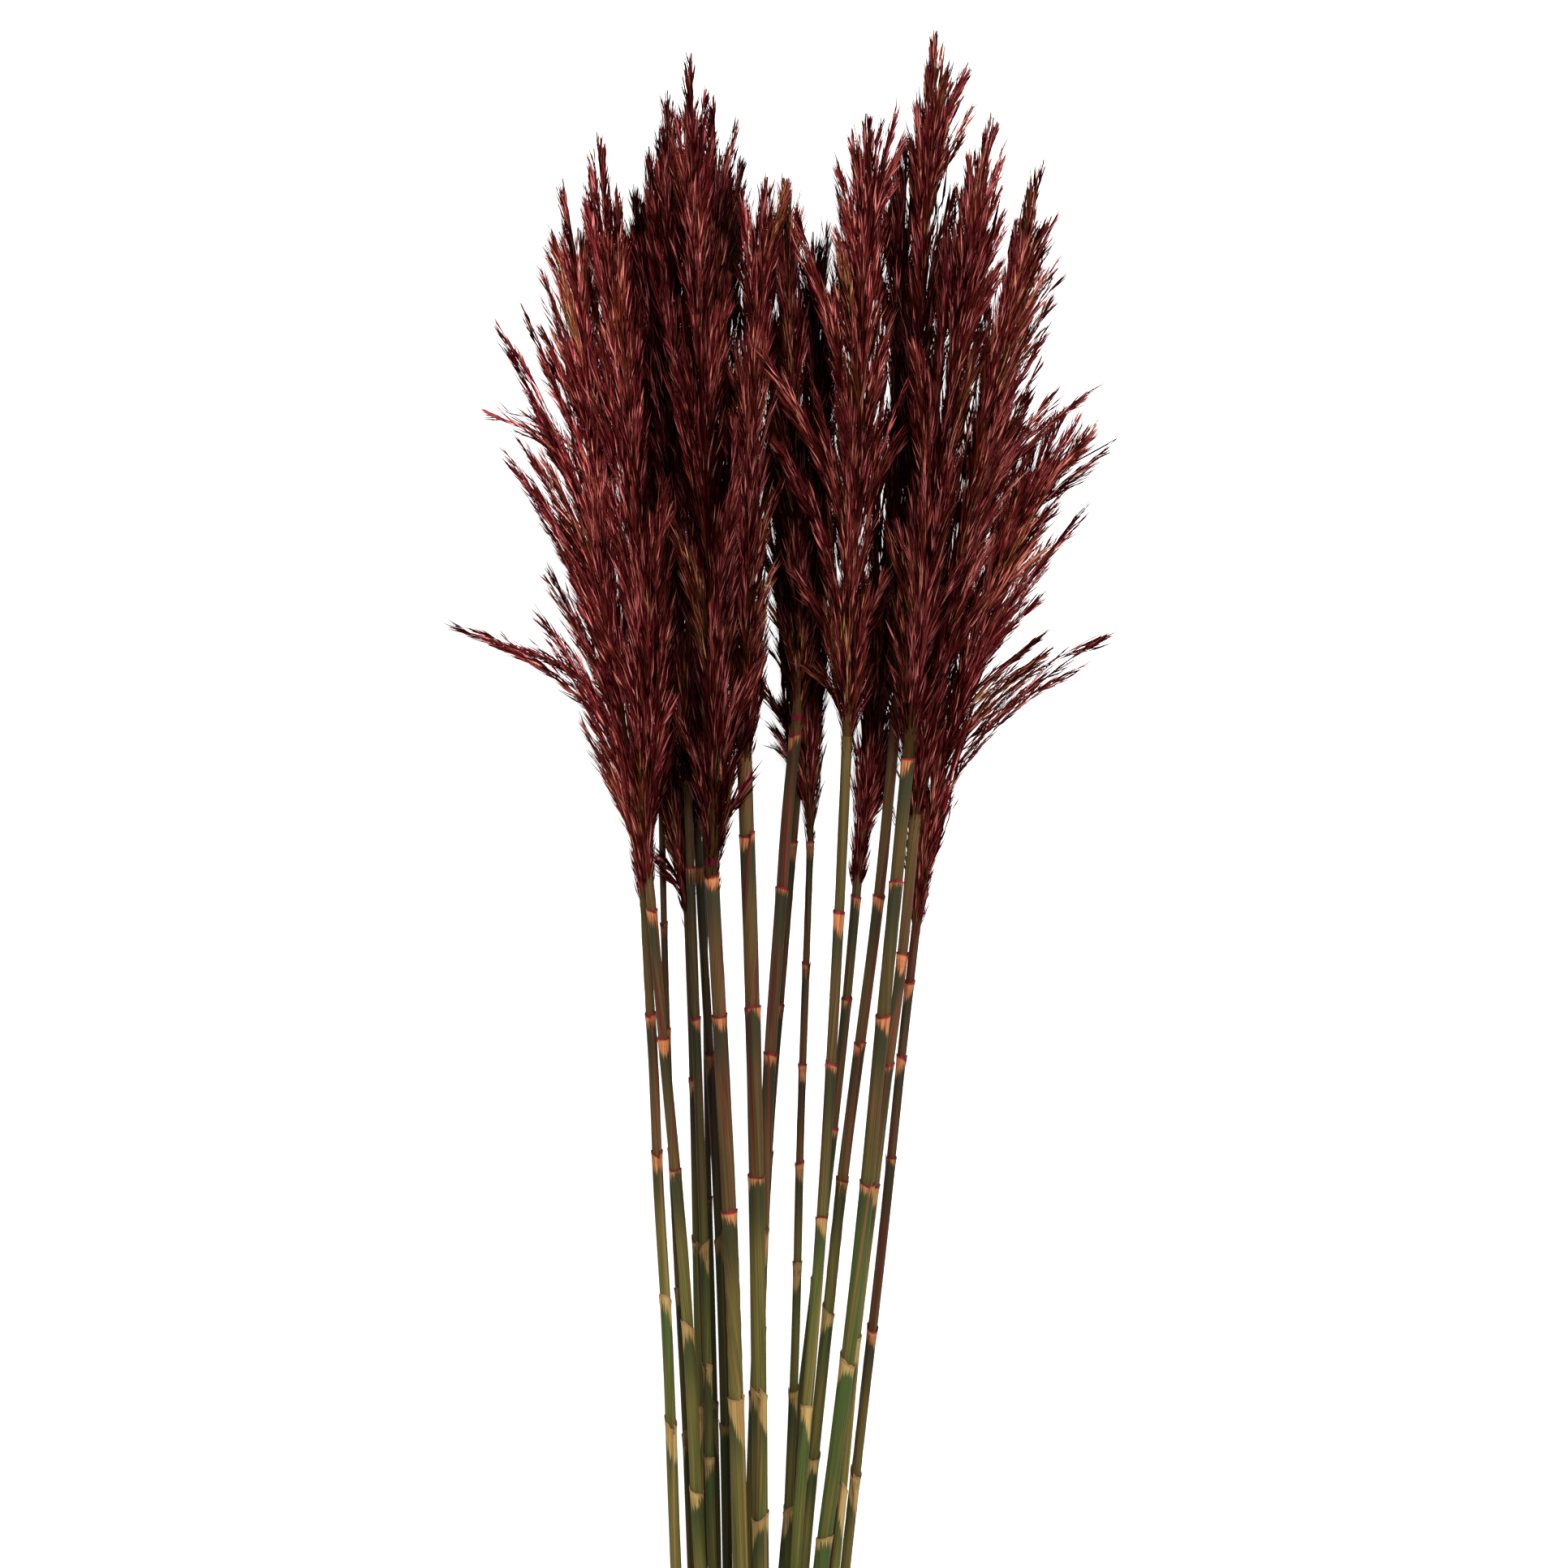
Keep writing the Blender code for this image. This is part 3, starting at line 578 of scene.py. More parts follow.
def spindle(share):
    """How wide a plume is at that share of its length."""
    return np.interp(share, SPINDLE_PLACES, SPINDLE_WIDTHS)


def hues_of(count, rng):
    """Random hues for so many branches."""
    return rng.triangular(*HUES, count)


def body_branches(reed, line, rng):
    """Branches in bundles, which leave the axis all the way up and at the neck."""
    count = (BODY_BUNDLES + NECK_BUNDLES) * BUNDLE_BRANCHES

    def bundled(values, spread):
        return np.repeat(values, BUNDLE_BRANCHES) + rng.normal(0, spread, count)

    def both(body, neck):
        return np.concatenate([body, neck])

    reach = rng.uniform(*BODY_REACH, BODY_BUNDLES)
    far = rng.permutation(np.arange(BODY_BUNDLES) + 0.5) / BODY_BUNDLES
    far = NEAREST_END + (1 - NEAREST_END) * far
    start = both(np.clip(far - reach, 0, 1), rng.uniform(*NECK_START, NECK_BUNDLES))
    root = np.clip(bundled(start, START_SPREAD), *BRANCH_ROOTS)
    far = both(far, start[BODY_BUNDLES:] + rng.uniform(*NECK_REACH, NECK_BUNDLES))
    end = np.clip(bundled(far, END_SPREAD), root + SHORTEST_BRANCH, 1)
    places = both(*(rng.permutation(number) / number for number in (BODY_BUNDLES, NECK_BUNDLES)))
    turn = bundled(places * FULL_TURN, TURN_SPREAD)
    width = both(np.sqrt(rng.uniform(0, 1, BODY_BUNDLES)), rng.uniform(*NECK_OUT, NECK_BUNDLES))
    width[BODY_BUNDLES:] *= NECK_WIDTHS.get(reed.number, 1)
    out = bundled(width, OUT_SPREAD) * reed.body * spindle(end)
    t = np.linspace(0, 1, BRANCH_STEPS)
    heights = reed.neck + (root[:, None] + (end - root)[:, None] * t) * (reed.tip - reed.neck)
    _, right, over = axes_at(line, heights)
    away = out[:, None] * t**BRANCH_BEND
    wave = np.sin(np.pi * t) * rng.normal(0, BRANCH_WAVE, (count, 1))
    across = (away * np.cos(turn)[:, None] + wave)[..., None]
    upward = (away * np.sin(turn)[:, None])[..., None] * BODY_FLATNESS
    hues = both(hues_of(BODY_BUNDLES, rng), rng.uniform(*NECK_HUES, NECK_BUNDLES))
    points = point_at(line, heights) + right * across + over * upward
    return points, bundled(hues, HUE_SPREAD)


def lock_path(root, tip, axis, straightness=LOCK_STRAIGHTNESS):
    """A branch's bend: it leaves along the plume's axis and leans over towards its tip."""
    chord = tip - root
    length = np.linalg.norm(chord)
    middle = root + 0.5 * length * unit(axis + straightness * chord / length)
    t = np.linspace(0, 1, BRANCH_STEPS)[:, None]
    return (1 - t) ** 2 * root + 2 * t * (1 - t) * middle + t**2 * tip


def fill_branches(line, path, root_y, rng):
    """Branches that end between the plume's axis and a lock that lies near it."""
    tip = path[-1]
    if abs(tip[0] - point_at(line, min(tip[1], line[-1][1]))[0]) > FILL_REACH:
        return []
    made = []
    for _ in range(FILL_BRANCHES):
        start = point_at(line, root_y + rng.uniform(*FILL_START) * (tip[1] - root_y))
        aim = point_along(path, FILL_AIM, rng)
        middle = point_at(line, min(aim[1], line[-1][1]))
        aim = middle + (aim - middle) * rng.uniform(*FILL_ASIDE)
        if aim[1] > start[1] + FILL_RISE:
            made.append(lock_path(start, aim, axes_at(line, start[1])[0]))
    return made


def lock_branches(reed, line, rng):
    """Each measured branch of the outline, with finer ones that run beside it and end earlier.

    Returns their paths, their hues and how densely each carries spikelets.
    """
    made, hues, dense = [], [], []
    straightness = STRAIGHTER_LOCKS.get(reed.number, LOCK_STRAIGHTNESS)
    for root_y, tip_x, tip_y, lift in reed.locks:
        root = point_at(line, root_y)
        tip = np.array((tip_x, tip_y, root[2] + lift))
        path = lock_path(root, tip, axes_at(line, root_y)[0], straightness)
        made.append(path)
        hues.append(hues_of(1, rng)[0])
        dense.append(LOCK_DENSITY)
        length = np.linalg.norm(tip - root)
        for _ in range(int(np.clip(length / FINE_LOCK_STEP, *FINE_LOCKS))):
            start_y = root_y + rng.uniform(*FINE_LOCK_START) * length
            start = point_at(line, max(reed.neck, start_y))
            near = point_along(path, FINE_LOCK_AIM, rng)
            near = near + rng.normal(0, 1, 3) * FINE_LOCK_STRAY
            made.append(lock_path(start, near, axes_at(line, start[1])[0], straightness))
            hues.append(hues[-1] + rng.normal(0, HUE_SPREAD))
            dense.append(FINE_LOCK_DENSITY)
        fill = fill_branches(line, path, root_y, rng)
        made += fill
        hues += list(hues_of(len(fill), rng))
        dense += [1] * len(fill)
    return np.array(made).reshape(-1, BRANCH_STEPS, 3), np.array(hues), np.array(dense)


def path_points(paths, which, t):
    """The points, and the directions there, at shares t along the paths that which names."""
    place = t * (paths.shape[1] - 1)
    low = np.minimum(place.astype(int), paths.shape[1] - 2)
    step = paths[which, low + 1] - paths[which, low]
    return paths[which, low] + (place - low)[:, None] * step, unit(step)


def point_along(path, span, rng):
    """A point somewhere in that span of one path."""
    return path_points(path[None], np.array([0]), rng.uniform(*span, 1))[0][0]


def path_lengths(paths):
    return np.linalg.norm(np.diff(paths, axis=1), axis=2).sum(1)


def leaning(along, outward, angles):
    """The directions that lean out from along by those angles in degrees, towards outward."""
    aside = unit(outward - along * (outward * along).sum(1, keepdims=True))
    angles = np.radians(angles)[:, None]
    return along * np.cos(angles) + aside * np.sin(angles)


def away_from_axis(points, line, rng, pull):
    """Random directions, drawn away from the plume's axis by that pull."""
    outward = unit(points - point_at(line, points[:, 1]))
    return outward * pull + unit(rng.normal(0, 1, points.shape))


def blades(root, ahead, length, width, rng):
    """Narrow closed keeled blades of four triangles each, and each point's share of its blade."""
    wide = unit(np.cross(ahead, unit(rng.normal(0, 1, root.shape))))
    keel = np.cross(wide, ahead) * width * SPIKELET_KEEL
    middle = root + ahead * length * SPIKELET_WIDEST - keel
    corners = [root, root + ahead * length, middle + wide * width / 2, middle - wide * width / 2]
    points = np.stack(corners, 1)
    points[..., 2] += np.maximum(0, FLOOR_GAP - points[..., 2].min(1))[:, None]
    faces = np.array(((0, 2, 1), (0, 1, 3), (0, 3, 2), (1, 2, 3)))
    faces = faces[None] + 4 * np.arange(len(root))[:, None, None]
    share = np.tile((0, 1, SPIKELET_WIDEST, SPIKELET_WIDEST), len(root))
    return points.reshape(-1, 3), faces.reshape(-1, 3), share


def twigs(paths, bare, dense, line, rng):
    """Short straight side branches along each branch, and the branch that each leaves."""
    lengths = path_lengths(paths)
    counts = np.maximum(2, np.round(lengths * (1 - bare) * dense / TWIG_SPACING)).astype(int)
    branch = np.repeat(np.arange(len(paths)), counts)
    t = bare[branch] + (LAST_TWIG - bare[branch]) * rng.uniform(0, 1, len(branch))
    root, along = path_points(paths, branch, t)
    outward = away_from_axis(root, line, rng, TWIG_PULL)
    ahead = leaning(along, outward, rng.triangular(*TWIG_LEAN, len(root)))
    rest = (1 - t) * lengths[branch]
    length = np.minimum(rng.triangular(*TWIG_LENGTH, len(root)), rest)[:, None]
    return root, ahead, length, branch


def spikelets(paths, bare, dense, total, line, rng):
    """Spikelets set along the branches, leaning out and forward, and each one's branch."""
    lengths = path_lengths(paths) * (1 - bare) * dense
    counts = np.maximum(1, np.round(total * lengths / lengths.sum())).astype(int)
    branch = np.repeat(np.arange(len(paths)), counts)
    order = np.arange(len(branch)) - np.repeat(np.cumsum(counts) - counts, counts)
    t = (order + rng.uniform(0, 1, len(branch))) / counts[branch]
    length = rng.triangular(*SPIKELET_LENGTH, len(branch))[:, None]
    last = np.maximum(1 - (length[:, 0] - PAST_TIP) / path_lengths(paths)[branch], 0)
    start = np.minimum(bare[branch], last)
    root, along = path_points(paths, branch, start + (last - start) * t)
    outward = away_from_axis(root, line, rng, SPIKELET_PULL)
    ahead = leaning(along, outward, rng.triangular(*SPIKELET_LEAN, len(root)))
    width = rng.uniform(*SPIKELET_WIDTH, len(root))[:, None]
    return blades(root, ahead, length, width, rng), branch


def mesh_object(name, parts, material, smooth=False):
    """One object from parts of (points, triangles, attribute values by name)."""
    points = np.concatenate([part[0] for part in parts])
    starts = np.cumsum([0] + [len(part[0]) for part in parts[:-1]])
    faces = np.concatenate([part[1] + start for part, start in zip(parts, starts)])
    mesh = bpy.data.meshes.new(name)
    mesh.from_pydata(points * MM, [], faces)
    for key in parts[0][2]:
        values = np.concatenate([np.broadcast_to(part[2][key], len(part[0])) for part in parts])
        layer = mesh.attributes.new(key, "FLOAT", "POINT")
        layer.data.foreach_set("value", values.astype(np.float32))
    if smooth:
        mesh.shade_smooth()
    mesh.materials.append(material)
    made = bpy.data.objects.new(name, mesh)
    bpy.context.scene.collection.objects.link(made)
    return made


def stalk(reed, line):
    """The plume's own axis, from inside the top sheath to the tip, and the hue of each ring."""
    base, tip = reed.neck - STALK_INSET, reed.tip
    share = np.linspace(0, 1, STALK_STEPS) ** STALK_STEP_POWER
    node = STALK_NODES.get(reed.number)
    if node:
        edges = node + np.array(STALK_NODE_EDGES) * STALK_NODE_LENGTH / 2
        share = np.sort(np.append(share, (edges - base) / (tip - base)))
    heights = base + share * (tip - base)
    radii = np.interp(share, STALK_PLACES, np.array(STALK_SIZES) * reed.radii[1])
    hues = STALK_HUE - STALK_HUE_FADE * share
    if node:
        swollen = np.abs(heights - node) < STALK_NODE_LENGTH * STALK_NODE_CORE
        radii = np.where(swollen, radii * STALK_NODE_SIZE, radii)
        hues = np.where(swollen, MAGENTA_HUE, hues)
    return tubes(point_at(line, heights)[None], radii[None], STALK_SIDES), hues


def neck_hairs(reed, line, rng, number, reach, lengths, width):
    """Blades on the stalk around the neck. Their reach is measured from the neck."""
    height = reed.neck + rng.uniform(*reach, number)
    along, right, over = axes_at(line, height)
    turn = rng.uniform(0, FULL_TURN, number)[:, None]
    outward = right * np.cos(turn) + over * np.sin(turn)
    root = point_at(line, height) + outward * reed.radii[1] * HAIR_ROOT
    ahead = leaning(along, outward, rng.uniform(*HAIR_LEAN, number))
    return blades(root, ahead, rng.uniform(*lengths, number)[:, None], width, rng)


def painted_shade_blades(reed, line, rng):
    """Painted shade: broad dark blades low in the plume, so that little light comes through it."""
    share = rng.uniform(*SHADE_BLADE_REACH, SHADE_BLADES)
    height = reed.neck + share * (reed.tip - reed.neck)
    along, right, over = axes_at(line, height)
    width = reed.body * spindle(share)
    side = rng.uniform(-SHADE_BLADE_ACROSS, SHADE_BLADE_ACROSS, SHADE_BLADES)
    aside = right * (side * width)[:, None]
    under = over * (rng.uniform(*SHADE_BLADE_DEPTH, SHADE_BLADES) * width * BODY_FLATNESS)[:, None]
    root = point_at(line, height) + aside - under
    root[:, 2] = np.maximum(root[:, 2], LOWEST_BRANCH)
    fan = side * SHADE_BLADE_FAN + rng.normal(0, SHADE_BLADE_STRAY, SHADE_BLADES)
    ahead = unit(along + right * fan[:, None])
    length = rng.uniform(*SHADE_BLADE_LENGTH, SHADE_BLADES)[:, None]
    return blades(root, ahead, length, rng.uniform(*SHADE_BLADE_WIDTH, SHADE_BLADES)[:, None], rng)


def crest_branch(reed, line):
    """The upper part of the plume's own axis, which carries spikelets up to its tip."""
    start = reed.neck + CREST_START * (reed.tip - reed.neck)
    return point_at(line, np.linspace(start, reed.tip, BRANCH_STEPS))[None]


def plume(reed, material):
    """A reed's plume: stalk, branches, twigs, hairs, spikelets and blades of painted shade."""
    rng = np.random.default_rng(int(reed.number))
    line = reed.culm + reed.crest
    locks, lock_hue, lock_dense = lock_branches(reed, line, rng)
    body, body_hue = body_branches(reed, line, rng)
    paths = np.concatenate([crest_branch(reed, line), locks, body])
    hues = np.concatenate([(CREST_HUE,), lock_hue, body_hue])
    dense = np.concatenate([(CREST_DENSITY,), lock_dense, np.ones(len(body))])
    lock_bare = rng.uniform(*LOCK_BARE, len(locks))
    bare = np.concatenate([(0,), lock_bare, rng.uniform(*BODY_BARE, len(body))])
    paths[..., 2] = np.maximum(paths[..., 2], LOWEST_BRANCH)
    tones = rng.normal(0, BRANCH_TONE_SPREAD, len(paths))
    root, ahead, length, owner = twigs(paths, bare, dense, line, rng)
    side = np.stack([root, root + ahead * length], 1)
    side_tones = tones[owner] + rng.normal(0, TWIG_TONE_SPREAD, len(owner))
    side_hues = hues[owner] + rng.normal(0, TWIG_HUE_SPREAD, len(owner))
    on_twigs = round(reed.spikelets * TWIG_SPIKELETS)
    parts = []

    def add(shape, hue, tone, blade=1, more_shade=0):
        """Keeps a shape with what the material reads. Hues and tones come one for each piece."""
        points, faces, along = shape
        # Painted shade and light: each plume darker on its underside and lighter towards its tip
        above = (points - point_at(line, np.clip(points[:, 1], reed.foot, reed.tip)))[:, 2]
        above = above / (BODY_FLATNESS * reed.body)
        deep = np.clip(UNDERSIDE_FROM - above / UNDERSIDE_REACH, 0, 1)
        rise = (points[:, 1] - reed.neck) / (reed.tip - reed.neck)
        lit = TIP_LIGHT * np.interp(rise, TIP_LIGHT_FROM, (0, 1))
        shade = reed.shade + UNDERSIDE_SHADE * deep - lit + more_shade
        hue, tone = (np.repeat(value, len(points) // np.size(value)) for value in (hue, tone))
        looks = {"tone": tone, "hue": hue, "along": along, "blade": blade, "shade": shade}
        parts.append((points, faces, looks))

    branch_hues = np.maximum(hues, rng.uniform(*BRANCH_HUES, len(hues)))
    thick = np.linspace(ROOT_RADIUS, TIP_RADIUS, BRANCH_STEPS) * np.ones((len(paths), 1))
    twig_shape = blades(root, ahead, length, TWIG_WIDTH, rng)
    fuzz = neck_hairs(reed, line, rng, **FUZZ)
    fuzz_looks = [rng.uniform(*span, FUZZ["number"]) for span in (FUZZ_HUES, FUZZ_TONES)]
    add(*stalk(reed, line), STALK_TONE, blade=0)
    add(tubes(paths, thick, BRANCH_SIDES), branch_hues, BRANCH_TONE, blade=0)
    add(fuzz, *fuzz_looks)
    add(twig_shape, side_hues, side_tones + TWIG_TONE)
    # Broad dark blades that paint the shade deep in the plume, with extra shade on them
    add(painted_shade_blades(reed, line, rng), hues_of(SHADE_BLADES, rng), SHADE_BLADE_TONE, more_shade=SHADE_BLADE_DARKENING)
    if reed.number not in BARE_NECKS:
        kind = LOW_NECK_COVER if reed.number in LOW_NECKS else NECK_COVER
        tone = SPIKELET_TONE + rng.gamma(*SPIKELET_TONE_GAMMA, kind["number"])
        add(neck_hairs(reed, line, rng, **kind), hues_of(kind["number"], rng), tone)
    branches = (paths, bare, dense, reed.spikelets - on_twigs, hues, tones)
    branchlets = (side, np.full(len(side), TWIG_BARE), 1, on_twigs, side_hues, side_tones)
    for runs, start, crowd, total, hue, tone in (branches, branchlets):
        shape, branch = spikelets(runs, start, crowd, total, line, rng)
        own_tone = SPIKELET_TONE + tone[branch] + rng.gamma(*SPIKELET_TONE_GAMMA, len(branch))
        add(shape, hue[branch] + rng.normal(0, SPIKELET_HUE_SPREAD, len(branch)), own_tone)
    return mesh_object(f"reed_plume_{reed.number}", parts, material)


def darken_the_deep(plumes):
    """Shades the plumes by how far each point lies under the bunch's upper surface around it."""
    clouds = []
    for made in plumes:
        points = np.empty(3 * len(made.data.vertices))
        made.data.vertices.foreach_get("co", points)
        clouds.append(points.reshape(-1, 3) / MM)
    low = np.concatenate(clouds).min(0)[:2]
    cells = [tuple(((points[:, :2] - low) / DEPTH_CELL).astype(int).T) for points in clouds]
    top = np.zeros([max(cell[side].max() for cell in cells) + 1 for side in (0, 1)])
    for points, cell in zip(clouds, cells):
        np.maximum.at(top, cell, points[:, 2])
    for side in (0, 1):
        top = sum(np.roll(top, step, side) for step in range(-DEPTH_BLUR, DEPTH_BLUR + 1))
    top = top / (2 * DEPTH_BLUR + 1) ** 2
    for made, points, cell in zip(plumes, clouds, cells):
        under = np.clip((top[cell] - points[:, 2] - DEPTH_FROM) / DEPTH_REACH, 0, 1)
        layer = made.data.attributes["shade"].data
        shade = np.empty(len(points), np.float32)
        layer.foreach_get("value", shade)
        shade = np.clip(shade + DEPTH_SHADE * under, -1, 1)
        layer.foreach_set("value", shade.astype(np.float32))


def rims_of(reed):
    """The rims that were measured, and those below them on the stretch down to the cut."""
    rims = sorted(reed.rims)
    while rims[0] - RIM_SPACING_UNSEEN > reed.foot + LOWEST_RIM:
        rims.insert(0, rims[0] - RIM_SPACING_UNSEEN)
    return rims


def sheath_rings(reed, low, high, rng, closed):
    """The rings of one sheath, from inside the sheath below it, or the cut end, up to its own rim.

    A ring is its points, their distance under the rim, and that past the edge of the pale patch.
    """
    wrap = 1 + SHEATH_OVERLAP * COLUMN_SHARES
    start_turn = rng.uniform(0, FULL_TURN)
    twist = rng.normal(0, TWIST)
    if rng.uniform() < SLANTED_SHARE:
        twist = rng.choice((-1, 1)) * SLANTED_TWIST
    slant = rng.uniform(*RIM_SLANT)
    slant_turn = rng.uniform(0, FULL_TURN)
    if high < LOW_PATCHES_UNDER:
        slant = slant * LOW_SLANT
    dip = rng.uniform(*RIM_DIP)
    teeth = rng.uniform(0, 1, len(COLUMN_SHARES)) ** 4 * TOOTH_LENGTH
    teeth[0] = teeth[-1] = SEAM_TOOTH
    angle = COLUMN_SHARES * FULL_TURN
    near_seam = np.clip(1 - COLUMN_SHARES / RIM_DIP_SHARE, 0, 1)
    edge = slant * np.cos(angle - slant_turn) - dip * near_seam**1.5
    patch = rng.uniform(*PATCH_SIZE)
    if high < LOW_PATCHES_UNDER:
        patch += rng.uniform(*LOW_PATCH_MORE)
    patch = patch * (1 - PATCH_TILT + PATCH_TILT * np.cos(angle - rng.uniform(0, FULL_TURN)))
    if closed:
        patch = patch - NO_RIM_NEAR

    def radius(y):
        grown = np.interp(y, (reed.foot, reed.neck), reed.radii)
        rise = np.clip((y - low) / (high - low), 0, 1)
        return grown * (1 - SHEATH_TAPER + SHEATH_TAPER * rise) * wrap

    def ring(y, radii, turn, below):
        y = y + 0 * COLUMN_SHARES
        below = below + NO_RIM_NEAR * closed + 0 * COLUMN_SHARES
        _, right, over = axes_at(reed.culm, y)
        turned = (turn + angle)[:, None]
        outward = right * np.cos(turned) + over * np.sin(turned)
        return point_at(reed.culm, y) + outward * radii[:, None], below, below - patch

    rings = []
    if low == reed.foot:
        cut_turn = start_turn + twist * (high - low)
        for depth in (HOLLOW_DEPTH, CUT_DEPTH):
            rings.append(ring(low + depth, radius(low) * WALL_SHARE, cut_turn, NO_RIM_NEAR))
    heights = list(np.arange(low, high - RIM_ROWS[0] - 2, SHEATH_ROW_STEP))
    heights += [high] if closed else [high - gap for gap in RIM_ROWS]
    for y in heights:
        settle = 0 if closed else np.clip(1 - (high - y) / RIM_ROWS[0], 0, 1)
        turn = start_turn + twist * (high - y)
        rings.append(ring(y + edge * settle, radius(y) + RIM_FLARE * settle**3, turn, high - y))
    if not closed:
        # The ragged edge, its inner side, and the sheath's inside down to where it is hidden
        top = high + edge + teeth
        inside = high - SHEATH_INSET
        rings.append(ring(top, radius(high) + RIM_FLARE * 1.2, start_turn, 0))
        rings.append(ring(top - 0.1, radius(high) * 0.96 + RIM_FLARE * 0.8, start_turn, 0))
        rings.append(ring(inside, radius(inside) * 0.93, start_turn, 3))
    return rings


def culm(reed, material):
    """A reed's culm: its sheaths as one closed skin, from inside the cut end up to the neck."""
    rng = np.random.default_rng(100 + int(reed.number))
    bounds = [reed.foot] + rims_of(reed) + [reed.neck]
    rings = []
    for k in range(len(bounds) - 1):
        low = bounds[k] - (SHEATH_INSET if k else 0)
        closed = k == len(bounds) - 2 and reed.number not in OPEN_NECKS
        rings += sheath_rings(reed, low, bounds[k + 1], rng, closed)
    points, below, past = (np.concatenate(values) for values in zip(*rings))
    points[:, 2] = np.maximum(points[:, 2], 0)
    looks = {
        "turn": np.tile(COLUMN_SHARES, len(rings)),
        "below": below,
        "past": past,
        "level": points[:, 1] + BROWN_FURTHER.get(reed.number, 0),
        "shade": reed.culm_shade,
        "stain": BROWN_STAINS.get(reed.number, rng.uniform(0, 1)),
    }
    parts = [(points, tube_faces(len(rings), len(COLUMN_SHARES)), looks)]
    return mesh_object(f"reed_culm_{reed.number}", parts, material, smooth=True)


class Shader:
    """A material's nodes, made by short calls that each return the output to link on."""

    def __init__(self, name):
        self.material = bpy.data.materials.new(name)
        self.material.use_nodes = True
        self.nodes = self.material.node_tree.nodes
        self.links = self.material.node_tree.links
        self.surface = self.nodes["Principled BSDF"]

    def put(self, socket, value):
        if isinstance(value, bpy.types.NodeSocket):
            self.links.new(value, socket)
        else:
            socket.default_value = value

    def set(self, name, value):
        self.put(self.surface.inputs[name], value)

    def node(self, kind, output, inputs=(), **settings):
        """A new node's output, after its settings and its inputs, by name or number, are made."""
        node = self.nodes.new("ShaderNode" + kind)
        for name, value in settings.items():
            setattr(node, name, value)
        for name, value in inputs:
            self.put(node.inputs[name], value)
        return node.outputs[output]

    def attribute(self, name):
        return self.node("Attribute", "Fac", attribute_name=name)

    def math(self, operation, *values):
        return self.node("Math", 0, enumerate(values), operation=operation)

    def plus(self, value, other):
        return self.math("ADD", value, other)

    def times(self, value, other):
        return self.math("MULTIPLY", value, other)

    def rest(self, value):
        """What the value leaves of 1."""
        return self.math("SUBTRACT", 1.0, value)

    def between(self, value, low, high, to_low=0.0, to_high=1.0):
        """A smooth step from to_low to to_high, as the value goes from low to high."""
        names = ("Value", "From Min", "From Max", "To Min", "To Max")
        inputs = zip(names, (value, low, high, to_low, to_high))
        return self.node("MapRange", "Result", inputs, interpolation_type="SMOOTHSTEP")

    def ramp(self, factor, stops):
        node = self.nodes.new("ShaderNodeValToRGB")
        elements = node.color_ramp.elements
        while len(elements) < len(stops):
            elements.new(0.5)
        for element, (place, colour) in zip(elements, stops):
            element.position = place
            element.color = (*colour, 1)
        self.put(node.inputs["Fac"], factor)
        return node.outputs["Color"]

    def mix(self, factor, first, second, blend="MIX"):
        colours = ((*c, 1) if isinstance(c, tuple) else c for c in (first, second))
        inputs = zip(("Factor", 6, 7), (factor, *colours))
        return self.node("Mix", 2, inputs, data_type="RGBA", blend_type=blend)

    def scaled(self, colour, share):
        """The colour, lighter or darker by that share."""
        return self.mix(1.0, colour, self.vector(share, share, share), "MULTIPLY")

    def place(self, stretch):
        """The place on the object in metres, stretched along each axis."""
        place = self.node("TexCoord", "Object")
        return self.node("Mapping", "Vector", (("Vector", place), ("Scale", stretch)))

    def noise(self, scale, vector):
        inputs = (("Vector", vector), ("Scale", scale), ("Detail", 3))
        return self.node("TexNoise", "Fac", inputs)

    def vector(self, *values):
        return self.node("CombineXYZ", 0, enumerate(values))

    def bump(self, height, strength, distance):
        inputs = (("Height", height), ("Strength", strength), ("Distance", distance))
        self.set("Normal", self.node("Bump", "Normal", inputs))


def plume_material():
    """Dyed spikelets: near-black burgundy to crimson, with brick, ochre and tan ones among them."""
    shader = Shader("dyed_plume_painted_shade")
    tone, hue, along = (shader.attribute(name) for name in ("tone", "hue", "along"))
    blade, shade = (shader.attribute(name) for name in ("blade", "shade"))

    # Blotches a few centimetres long, which change the tone and the hue a little
    blotch = shader.between(shader.noise(45, shader.place((1, 0.3, 1))), 0.3, 0.7, -0.15, 0.15)
    tone = shader.plus(tone, shader.times(blotch, 0.6))
    hue = shader.plus(hue, blotch)
    crimson, brick, olive = (shader.ramp(tone, stops) for stops in (CRIMSON, BRICK, OLIVE))
    on_stalk = shader.mix(shader.between(blotch, -0.15, 0.15), UPPER_BROWN, UPPER_OLIVE)
    colour = shader.mix(shader.between(hue, 0.25, 0.7), crimson, brick)
    colour = shader.mix(shader.between(hue, 0.78, 0.95), colour, olive)
    colour = shader.mix(shader.between(hue, 1.1, 1.6), colour, on_stalk)
    colour = shader.mix(shader.between(hue, 2.3, 2.7), colour, MAGENTA)

    # Blades are tan at tips and dark at roots, and painted shade makes all darker deep in the bunch
    tip = shader.times(shader.between(along, 0.6, 1.0), shader.times(blade, 0.3))
    colour = shader.mix(tip, colour, TAN_TIP)
    past_root = shader.plus(along, shader.rest(blade))
    colour = shader.scaled(colour, shader.between(past_root, 0.0, 0.4, 0.5, 1.0))
    # Painted shade and light: darker below, behind and deep in the bunch, lighter at the tips
    colour = shader.scaled(colour, shader.rest(shader.times(shade, 0.87)))
    shader.set("Base Color", colour)
    shader.set("Roughness", shader.between(tone, 0.0, 1.0, 0.65, 0.45))
    shader.set("Specular IOR Level", shader.between(tone, 0.4, 1.0, 0.0, 0.04))
    shader.set("Specular Tint", (1.0, 0.5, 0.45, 1))
    shader.bump(shader.noise(900, shader.place((1, 0.15, 1))), 0.25, 0.0002)
    return shader.material


